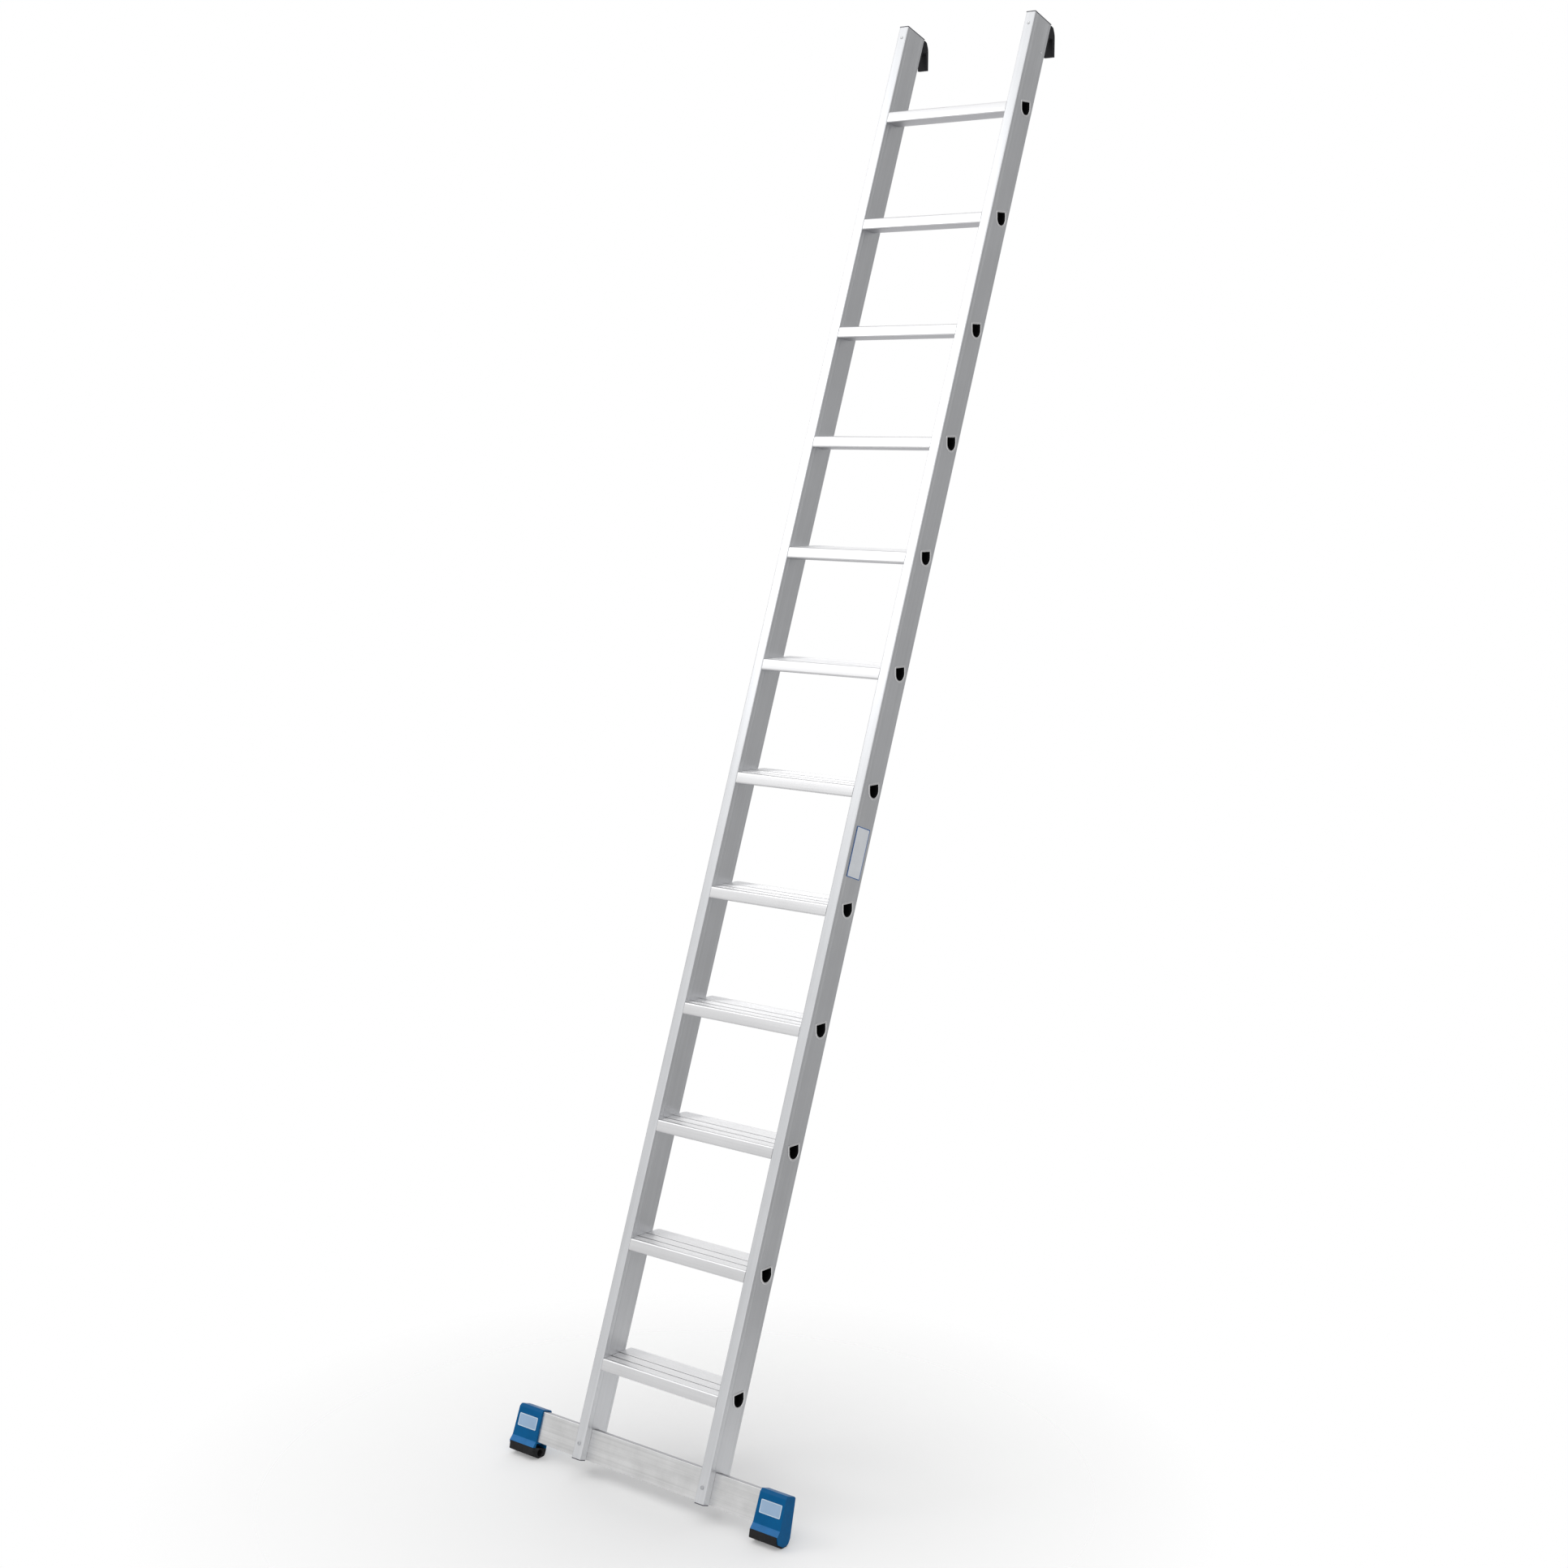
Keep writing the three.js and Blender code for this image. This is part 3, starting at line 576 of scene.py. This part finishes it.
def ribbed_top():
    """The points of the tread's top from its rear edge to its nose, with fine ribs between the
    deeper grooves."""
    top = TREAD["top"]
    foot = top - RIB["depth"]
    stops = [TREAD["back"] - LIP["edge"] - 1]
    for place in sorted(GROOVE["places"], reverse=True):
        stops += [place + GROOVE["width"] / 2, place - GROOVE["width"] / 2]
    stops.append(tread_front(top) + NOSE["top"] + 1)
    points = []
    for back, front in zip(stops[::2], stops[1::2]):
        count = int((back - front) / RIB["pitch"])
        points.append((back, top))
        for i in range(1, count):
            y = back - (back - front) * i / count
            dip = (RIB["pitch"] - RIB["width"]) / 2
            points += [(y + dip, top), (y + dip - RIB["slope"], foot)]
            points += [(y - dip + RIB["slope"], foot), (y - dip, top)]
        points.append((front, top))
        if front != stops[-1]:
            floor = top - GROOVE["depth"]
            points.append((front - GROOVE["slope"], floor))
            points.append((front - GROOVE["width"] + GROOVE["slope"], floor))
    return points


def tread_outline():
    top, back, nose_bottom = TREAD["top"], TREAD["back"], TREAD["nose_bottom"]
    half = CORE["half"]
    under = top - TREAD["plate"]
    lip_front = back - LIP["wall"]
    return outline(
        (back, top, LIP["edge"]),
        *ribbed_top(),
        (tread_front(top), top, NOSE["top"]),
        (tread_front(nose_bottom), nose_bottom, NOSE["bottom"]),
        (-half / 2, BELLY, half / 3),
        (half, BELLY, half - 1),
        (half, under, LIP["edge"]),
        (lip_front, under, LIP["edge"]),
        (lip_front, top - LIP["depth"], LIP["edge"]),
        (back, top - LIP["depth"], LIP["edge"]),
    )


def nose_chamber():
    top = TREAD["top"] - TREAD["plate"]
    bottom = TREAD["nose_bottom"] + TREAD["wall"]
    back = -CORE["half"]
    wall, round_by = TREAD["wall"], NOSE["inside"]
    return outline(
        (back, top),
        (tread_front(top, wall), top, round_by),
        (tread_front(bottom, wall), bottom, round_by),
        (back, bottom - wall),
    )


def flared_end(sign):
    """The end of the core tube, rolled outward over the stile: a round rim in section."""
    start = CLEAR_HALF_WIDTH - GAP
    seat = HALF_WIDTH + GAP
    wall = -CORE["wall"]
    roll_middle = (FLARE["width"] + FLARE["roll_inside"]) / 2
    roll_reach = (FLARE["width"] - FLARE["roll_inside"]) / 2
    profile = [(start, 0), (seat, 0)]
    for i in range(ROLL_STEPS + 1):
        angle = math.pi * i / ROLL_STEPS
        rise = FLARE["thickness"] * math.sin(angle)
        profile.append((seat + rise, roll_middle + roll_reach * math.cos(angle)))
    throat = (seat - FLARE["throat"], FLARE["throat_inside"])
    profile += [throat, (seat - FLARE["neck"], wall), (start, wall)]
    rings = [[(sign * x, y, z) for y, z in core_outline(grow)] for x, grow in profile]
    return loft(rings, closed=True)


def tread_mesh():
    end = CLEAR_HALF_WIDTH - GAP
    body = prism("x", tread_outline(), -end, end, (core_outline(-CORE["wall"]), nose_chamber()))
    rounded_plan = prism(
        "z",
        outline(
            (-end, -2 * STILE["depth"]),
            (end, -2 * STILE["depth"]),
            (end, TREAD["back"], LIP["plan_corner"]),
            (-end, TREAD["back"], LIP["plan_corner"]),
        ),
        -TREAD["back"],
        TREAD["back"],
    )
    return joined(combined(body, rounded_plan, "INTERSECT"), flared_end(-1), flared_end(1))


def treads():
    shape = tread_mesh()
    reach = CORE["half"] - FLARE["bright_rim"]
    top = CORE["top"] - FLARE["bright_rim"]
    metals = (TREAD_METAL, BORE_SHADE_METAL, SHADED_METAL)

    def in_bore(middle):
        if middle.z < CORE["shoulder"]:
            return math.hypot(middle.y, middle.z - CORE["shoulder"]) < reach
        return abs(middle.y) < reach and middle.z < top

    # Painted shade: the bore and the undersides between the stiles take darkened copies of the
    # metal.
    def chosen(middle, normal):
        if in_bore(middle):
            return metals.index(BORE_SHADE_METAL)
        shaded_underside = normal.z < -SHADED_FACE_SHARE and abs(middle.x) < CLEAR_HALF_WIDTH
        return metals.index(SHADED_METAL) if shaded_underside else metals.index(TREAD_METAL)

    for number in range(1, TREAD_COUNT + 1):
        piece(
            f"tread_{number:02d}", shape.copy(), metals, tread_axes(number),
            chosen=chosen,
        )
    shape.free()


# ---- Stabiliser bar and its fastenings -----------------------------------------------------


def bar():
    front, height, wall = BAR["front"], BAR["height"], BAR["wall"]
    shape = rectangle(front, BAR_BACK, 0, height, BAR["corner"])
    bore = rectangle(front + wall, BAR_BACK - wall, wall, height - wall, BAR["inner_corner"])
    tube = prism("x", shape, -BAR["half_length"], BAR["half_length"], (bore,))
    ways = [
        prism("y", circle(sign * STILE_X, BOLT["z"], BOLT["radius"] + GAP), 0, STILE["depth"])
        for sign in SIDES.values()
    ]

    # Painted shade: the bar's top faces take the darker copy of the aluminium.
    def shaded_top(_, normal):
        return int(normal.z > SHADED_FACE_SHARE)

    metals = (BAR_METAL, SHADED_METAL)
    piece("stabiliser_bar", cut(tube, joined(*ways)), metals, chosen=shaded_top)


def turned(profile):
    """Rings round the y axis, for (radius, y) pairs."""
    return [[(radius * p.x, y, radius * p.y) for p in circle(0, 0, 1)] for radius, y in profile]


def hexagon_ring(across, y, chamfer=None):
    """A hexagon with as many points as a turned ring, cut back to a circle if chamfer is set."""
    ring = []
    for p in circle(0, 0, 1):
        angle = math.atan2(p.y, p.x) % (math.pi / 3) - math.pi / 6
        reach = across / 2 / math.cos(angle)
        if chamfer:
            reach = min(reach, chamfer)
        ring.append((reach * p.x, y, reach * p.y))
    return ring


def dome(radius, height, flat_radius):
    """(radius, y) pairs from the rim of a domed head in to its flat middle. The head faces -y."""
    turns = (math.pi / 2 * i / DOME_STEPS for i in range(DOME_STEPS))
    spots = [(radius * math.cos(a), -height * math.sin(a)) for a in turns]
    return [spot for spot in spots if spot[0] > flat_radius]


def socket_bolt():
    """A bolt along +y with a low domed head and a hexagon socket."""
    radius, socket = BOLT["radius"], BOLT["socket"]
    end = STILE["depth"] + WASHER["thickness"] + NUT["height"] + BOLT["tail"] + 2 * GAP
    point = (radius - BOLT["point"], end)
    shank = turned([point, (radius, end - BOLT["point_length"]), (radius, 0)])
    head = turned(dome(BOLT["head"], BOLT["height"], socket + BOLT["socket_land"]))
    mouth = head[-1][0][1]
    floor = -BOLT["height"] + BOLT["socket_depth"]
    return loft([*shank, *head, hexagon_ring(socket * 2, mouth), hexagon_ring(socket * 2, floor)])


def rivet(length):
    """A blind rivet along +y: a domed head with the broken pin in its middle."""
    pin = RIVET["pin"]
    shank = turned([(RIVET["radius"], length), (RIVET["radius"], 0)])
    head = turned(dome(RIVET["head"], RIVET["height"], pin + RIVET["pin_land"]))
    crown = -RIVET["height"]
    root = (pin, crown + RIVET["pin_root"])
    tip = (pin - RIVET["pin_taper"], crown + RIVET["pin_end"])
    return loft([*shank, *head, *turned([root, tip])])


def aimed(bm, place, outward):
    """Turns a pin whose head faces -y to face outward, and puts the underside of it in place."""
    turn = Vector((0, -1, 0)).rotation_difference(Vector(outward)).to_matrix()
    bmesh.ops.rotate(bm, matrix=turn, verts=bm.verts)
    return moved(bm, *place)


def bar_fastenings(side, sign):
    x = sign * STILE_X
    front = (x, -GAP, BOLT["z"])
    piece(f"bar_bolt_{side}", aimed(socket_bolt(), front, (0, -1, 0)), STEEL)

    seat = STILE["depth"] + GAP
    bore = BOLT["radius"] + GAP
    thick, rim, ease = WASHER["thickness"], WASHER["radius"], WASHER["ease"]
    profile = [
        (bore, 0), (rim - ease, 0), (rim, ease),
        (rim, thick - ease), (rim - ease, thick), (bore, thick),
    ]
    washer = loft(turned(profile), closed=True)
    piece(f"bar_washer_{side}", moved(washer, x, seat, BOLT["z"]), STEEL)

    seat += thick + GAP
    across, height, bite = NUT["across"], NUT["height"], NUT["chamfer_height"]
    chamfer = across / 2 + NUT["chamfer"]
    nut = loft(
        [
            *turned([(bore, 0)]),
            hexagon_ring(across, 0, chamfer), hexagon_ring(across, bite),
            hexagon_ring(across, height - bite), hexagon_ring(across, height, chamfer),
            *turned([(bore, height)]),
        ],
        closed=True,
    )
    piece(f"bar_nut_{side}", moved(nut, x, seat, BOLT["z"]), STEEL)


# ---- Bar caps and soles --------------------------------------------------------------------


def cap_form(sign):
    front, top, split = CAP["front"], CAP["top"], CAP["split"]
    from_the_side = outline(
        (front, CAP["flare_top"], CAP["flare_round"]),
        (front, top - CAP["bevel_height"], CAP["bevel_round"]),
        (front + CAP["bevel_width"], top, CAP["bevel_round"]),
        (CAP["top_back"], top, CAP["top_round"]),
        (CAP["back"], split),
        (HEEL["y"], HEEL["z"], HEEL["round"]),
        (SOLE["facet_front"], CAP["bottom"], CAP["bottom_round"]),
        (TOE["y"], TOE["z"], TOE["round"]),
        (front - CAP["flare"], split),
    )
    from_the_front = outline(
        (sign * CAP["inner_top"], top),
        (sign * CAP["inner_bottom"], CAP["bottom"]),
        (sign * CAP["outer_bottom"], CAP["bottom"]),
        (sign * CAP["outer_top"], top, CAP["top_round"]),
    )
    reach = CAP["outer_bottom"]
    return combined(
        prism("x", from_the_side, -reach, reach),
        prism("y", from_the_front, 0, STILE["depth"]),
        "INTERSECT",
    )


def label_room(sign):
    """The shallow panel on the cap's front that holds its label."""
    label = CAP_LABEL
    half_width, half_height = label["width"] / 2 + GAP, label["height"] / 2 + GAP
    x, z = sign * label["x"], label["z"]
    shape = rectangle(
        x - half_width, x + half_width, z - half_height, z + half_height, label["corner"]
    )
    return prism("y", shape, 0, CAP["front"] + label["thickness"])


def bar_cap(side, sign):
    mouth = sign * (CAP["inner_bottom"] - 1)
    past_sole = sign * (SOLE["outer"] + GAP)
    bar_end = sign * (BAR["half_length"] + GAP)
    sole_room = block(mouth, past_sole, 0, STILE["depth"], 2 * CAP["bottom"], CAP["split"])
    bar_room = block(mouth, bar_end, WEB["back"], BAR_BACK + GAP, -GAP, BAR["height"] + GAP)
    keel_room = block(
        mouth, past_sole, KEEL_ROOM["front"], KEEL_ROOM["back"], 2 * CAP["split"], KEEL_ROOM["top"]
    )
    bm = cut(cap_form(sign), sole_room, bar_room, keel_room, label_room(sign))

    # Painted highlight: the flare's upward, forward faces take the lighter blue.
    def painted_highlight_on_flare(middle, normal):
        faces_front = normal.y < -0.5
        tilts_up = normal.z > 0.1
        return int(middle.z < CAP["flare_top"] and faces_front and tilts_up)

    blues = (BLUE_PLASTIC, HIGHLIT_BLUE_PLASTIC)
    piece(f"bar_cap_{side}", bm, blues, edge=CAP["edge"], chosen=painted_highlight_on_flare)


def sole(side, sign):
    top = CAP["split"] - GAP
    rise = (SOLE["facet_back"] - SOLE["facet_front"]) * math.tan(TILT)
    back_low = SOLE["facet_z"] + rise
    shape = outline(
        (CAP["front"] - CAP["flare"], top),
        (SOLE["front"], SOLE["front_bottom"], SOLE["front_round"]),
        (SOLE["facet_front"], SOLE["facet_z"]),
        (SOLE["facet_back"], back_low),
        (CAP["back"], back_low + SOLE["heel_rise"], SOLE["heel_round"]),
        (CAP["back"], top),
    )
    hollow = circle(HOLLOW["y"], HOLLOW["z"], HOLLOW["radius"])
    x0, x1 = sorted((sign * SOLE["inner"], sign * SOLE["outer"]))
    piece(
        f"sole_{side}", prism("x", shape, x0, x1, (hollow,)), RUBBER, edge=SOLE["edge"]
    )


def label_plate(node, axis, middle, size, corner, seat, face, materials):
    """A thin blank plate whose rim stands a little proud of its field. seat is where its back
    lies along the axis and face is where its rim is. materials are the field's and the rim's."""
    rim, dip = LABEL["rim"], LABEL["dip"]
    field_face = face - math.copysign(dip, face - seat)
    u, v = middle
    width, height = size

    def ring(inset, along):
        x, y = width / 2 - inset, height / 2 - inset
        points = rectangle(
            u - x, u + x, v - y, v + y, max(corner - inset, LABEL["smallest_corner"])
        )
        return [ALONG[axis](a, b, along) for a, b in points]

    outside = [ring(0, seat), ring(0, field_face), ring(dip, face)]
    bm = loft([*outside, ring(rim, face), ring(rim + dip, field_face)])
    centre = Vector(ALONG[axis](u, v, seat))

    def on_rim(spot, _):
        in_field = (spot - centre).length < min(size) / 4
        return int(not in_field)

    piece(node, bm, materials, chosen=on_rim)


def labels():
    cap = CAP_LABEL
    size = (cap["width"], cap["height"])
    seat = CAP["front"] + cap["thickness"] - GAP
    for side, sign in SIDES.items():
        middle = (sign * cap["x"], cap["z"])
        face = seat - cap["thickness"]
        materials = (PALE_PANEL, PALE_RIM)
        label_plate(f"cap_label_{side}", "y", middle, size, cap["corner"], seat, face, materials)
    stile_label = STILE_LABEL
    middle = (stile_label["y"], stile_label["z"])
    size = (stile_label["width"], stile_label["height"])
    seat = HALF_WIDTH + GAP
    face = seat + stile_label["thickness"]
    materials = (WHITE_PANEL, BLUE_PRINT)
    label_plate("stile_label", "x", middle, size, stile_label["corner"], seat, face, materials)


# ---- Plugs and hooks at the stiles' ends ---------------------------------------------------


def stem(y0, y1, z0, z1):
    half = HALF_STILE - STILE["wall"] - GAP
    return block(-half, half, y0 + GAP, y1 - GAP, z0, z1)


def plugs(side, sign):
    x = sign * STILE_X
    over, flange = TOP_PLUG["overhang"], TOP_PLUG["flange"]
    seat = STILE["length"] + GAP
    half = HALF_STILE + over
    plate = rectangle(-half, half, -over, STILE["depth"] + over, TOP_PLUG["corner"])
    top = joined(
        prism("z", plate, seat, seat + flange),
        stem(STILE["wall"], WEB["front"], seat - TOP_PLUG["front_stem"], seat),
        stem(WEB["back"], STILE["depth"] - STILE["wall"], seat - TOP_PLUG["main_stem"], seat),
    )
    piece(
        f"top_plug_{side}", moved(top, x=x), GREY_PLASTIC, edge=TOP_PLUG["edge"]
    )

    seat = -GAP
    plate = rectangle(-HALF_STILE, HALF_STILE, 0, WEB["back"], STILE["corner"])
    foot = joined(
        prism("z", plate, seat - FOOT_PLUG["flange"], seat),
        stem(STILE["wall"], WEB["front"], seat, FOOT_PLUG["stem"]),
    )
    piece(
        f"foot_plug_{side}", moved(foot, x=x), GREY_PLASTIC, edge=FOOT_PLUG["edge"]
    )


def plug_rivets(side, sign):
    length = RIVET["length"]
    front = (sign * STILE_X, -GAP, STILE["length"] - FRONT_RIVET_DROP)
    outside = (sign * (HALF_WIDTH + GAP), SIDE_RIVET["y"], STILE["length"] - SIDE_RIVET["drop"])
    fit_front = aimed(rivet(length), front, (0, -1, 0))
    fit_side = aimed(rivet(length), outside, (sign, 0, 0))
    piece(f"plug_front_rivet_{side}", fit_front, RIVET_METAL)
    piece(f"plug_side_rivet_{side}", fit_side, RIVET_METAL)


def hook_outline():
    """The hook from the side, from the top of the stile's rear face. Its leg is plumb and the
    roof of its mouth is level."""
    outer_bottom = Vector(LEG_BOTTOM)
    inner_bottom = outer_bottom - LEVEL_BACK * HOOK["leg"]
    roof_back = inner_bottom - PLUMB_DOWN * HOOK["mouth"]
    roof_front = roof_back - LEVEL_BACK * (roof_back.x - HOOK["plate"]) / LEVEL_BACK.x
    return outline(
        (0, 0),
        (0, HOOK["plate_bottom"], HOOK["plate_round"]),
        (HOOK["plate"], HOOK["plate_bottom"], HOOK["plate_round"]),
        (*roof_front, HOOK["roof_front_round"]),
        (*roof_back, HOOK["roof_back_round"]),
        (*inner_bottom, HOOK["leg_round"]),
        (*outer_bottom, HOOK["leg_round"]),
        (HOOK_SHOULDER["y"], HOOK_SHOULDER["z"], HOOK_SHOULDER["round"]),
        (HOOK_SHOULDER["top_back"], 0, HOOK_SHOULDER["top_round"]),
    )


def hook(side, sign):
    bm = prism("x", hook_outline(), -HALF_STILE, HALF_STILE)
    moved(bm, sign * STILE_X, STILE["depth"] + GAP, STILE["length"] - GAP)
    piece(f"hook_{side}", bm, BLACK_PLASTIC, edge=HOOK["edge"])
    seat = STILE["depth"] + HOOK["plate"] + 2 * GAP
    for level, drop in HOOK_RIVET_DROPS.items():
        place = (sign * STILE_X, seat, STILE["length"] - drop)
        bm = aimed(rivet(RIVET["hook_length"]), place, (0, 1, 0))
        piece(f"hook_rivet_{side}_{level}", bm, RIVET_METAL)


# ---- Studio --------------------------------------------------------------------------------

CAMERA_PLACE = Vector((3.247, -4.050, 2.152))
CAMERA_TURN = math.radians(39.52)
CAMERA_DIP = math.radians(8.32)
CAMERA_ROLL = math.radians(0.1)
LENS = 57.11

# The floor lies round the ladder's foot and fades out between these distances from its middle.
FLOOR_RADIUS = 1.2
FLOOR_POINTS = 96
FLOOR_FADE = (0.15, 1.1)
FLOOR_SHIFT = Vector((0, -0.45, 0))

KEY_LIGHT = {"place": (-3.6, -3.2, 5.0), "size": (1.6, 1.6), "power": 31, "target": (0, 0.3, 1.6)}

# How bright the studio is: behind the ladder, in front of it low down and high up, and what
# share of that is left on the right, at the front and behind, and on the far left.
BEHIND = 1.0
FRONT_LOW = 0.65
FRONT_HIGH = 0.94
RIGHT_FRONT_SHARE = 1.1
RIGHT_BACK_SHARE = 0.38
LEFT_SHARE = 0.30

# Where one of those turns into the next, as parts of a direction along z, y and x.
LOW_TO_HIGH = (0.0, 0.65)
FRONT_TO_BACK = (-0.4, 0.2)
RIGHT_FRONT_TO_BACK = (-0.2, 0.35)
MIDDLE_TO_RIGHT = (-0.1, 0.4)
FAR_LEFT_TO_LEFT = (-0.97, -0.88)


def footprint_middle():
    low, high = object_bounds()
    return Vector(((low.x + high.x) / 2, (low.y + high.y) / 2, low.z))


def camera():
    made = bpy.data.objects.new("camera", bpy.data.cameras.new("camera"))
    bpy.context.scene.collection.objects.link(made)
    made.data.lens = LENS
    made.location = footprint_middle() + CAMERA_PLACE
    heading = Matrix.Rotation(CAMERA_TURN, 4, "Z")
    dip = Matrix.Rotation(math.pi / 2 - CAMERA_DIP, 4, "X")
    roll = Matrix.Rotation(CAMERA_ROLL, 4, "Z")
    made.rotation_euler = (heading @ dip @ roll).to_euler()
    bpy.context.scene.camera = made


def floor():
    """A pale floor that fades out towards its edge, so that it runs into the background."""
    finish = Finish("pale_floor", (0.94, 0.94, 0.94), 0.85)
    finish.shade(finish.range(finish.noise((2, 2, 2)), 0, 1), dark=0.985, light=1.0)
    middle = footprint_middle() + FLOOR_SHIFT
    place = finish.tree.nodes.new("ShaderNodeNewGeometry")
    distance = finish.tree.nodes.new("ShaderNodeVectorMath")
    distance.operation = "DISTANCE"
    finish.join(place.outputs["Position"], distance.inputs[0])
    distance.inputs[1].default_value = middle
    cover = finish.range(distance.outputs["Value"], 1.0, 0.0, *FLOOR_FADE)
    finish.join(cover, finish.shader.inputs["Alpha"])
    bm = bmesh.new()
    ring = [bm.verts.new((*(p * FLOOR_RADIUS), 0)) for p in circle(0, 0, 1, FLOOR_POINTS)]
    bm.faces.new(ring)
    made = bpy.data.objects.new("pale_floor", mesh_of("pale_floor", bm))
    made.data.materials.append(finish.material)
    bpy.context.scene.collection.objects.link(made)
    made.location = middle
    made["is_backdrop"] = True


def area_light(name, place, size, power, target):
    """A square light, placed and aimed from the middle of the footprint."""
    lamp = bpy.data.lights.new(name, "AREA")
    lamp.shape = "RECTANGLE"
    lamp.size, lamp.size_y = size
    lamp.energy = power
    made = bpy.data.objects.new(name, lamp)
    bpy.context.scene.collection.objects.link(made)
    middle = footprint_middle()
    made.location = middle + Vector(place)
    aim = middle + Vector(target) - made.location
    made.rotation_euler = aim.to_track_quat("-Z", "Y").to_euler()


def surroundings():
    """A white studio round the ladder, dimmer low in front, behind on the right and far left."""
    world = bpy.data.worlds.new("studio")
    bpy.context.scene.world = world
    world.use_nodes = True
    tree = world.node_tree
    way = tree.nodes.new("ShaderNodeTexCoord")
    split = tree.nodes.new("ShaderNodeSeparateXYZ")
    tree.links.new(way.outputs["Generated"], split.inputs["Vector"])

    def blend(direction, start, end, first, last):
        """Goes from first to last while the direction's part along one axis goes from start to
        end."""
        step = tree.nodes.new("ShaderNodeMapRange")
        step.interpolation_type = "SMOOTHSTEP"
        tree.links.new(split.outputs[direction], step.inputs["Value"])
        ends = (("From Min", start), ("From Max", end), ("To Min", first), ("To Max", last))
        for socket, value in ends:
            if isinstance(value, (int, float)):
                step.inputs[socket].default_value = value
            else:
                tree.links.new(value, step.inputs[socket])
        return step.outputs["Result"]

    front = blend("Z", *LOW_TO_HIGH, FRONT_LOW, FRONT_HIGH)
    strength = blend("Y", *FRONT_TO_BACK, front, BEHIND)
    right = blend("Y", *RIGHT_FRONT_TO_BACK, RIGHT_FRONT_SHARE, RIGHT_BACK_SHARE)
    on_the_right = blend("X", *MIDDLE_TO_RIGHT, 1.0, right)
    on_the_left = blend("X", *FAR_LEFT_TO_LEFT, LEFT_SHARE, 1.0)
    for share in (on_the_right, on_the_left):
        product = tree.nodes.new("ShaderNodeMath")
        product.operation = "MULTIPLY"
        tree.links.new(strength, product.inputs[0])
        tree.links.new(share, product.inputs[1])
        strength = product.outputs["Value"]
    background = tree.nodes["Background"]
    tree.links.new(strength, background.inputs["Strength"])
    background.inputs["Color"].default_value = (1, 1, 1, 1)


def studio():
    camera()
    floor()
    surroundings()
    area_light("key", **KEY_LIGHT)
    bpy.context.scene.view_settings.view_transform = "Standard"


# ---- The whole ladder ----------------------------------------------------------------------

for side_name, side_sign in SIDES.items():
    for make in (stile, bar_fastenings, bar_cap, sole, plugs, plug_rivets, hook):
        make(side_name, side_sign)
treads()
bar()
labels()
studio()
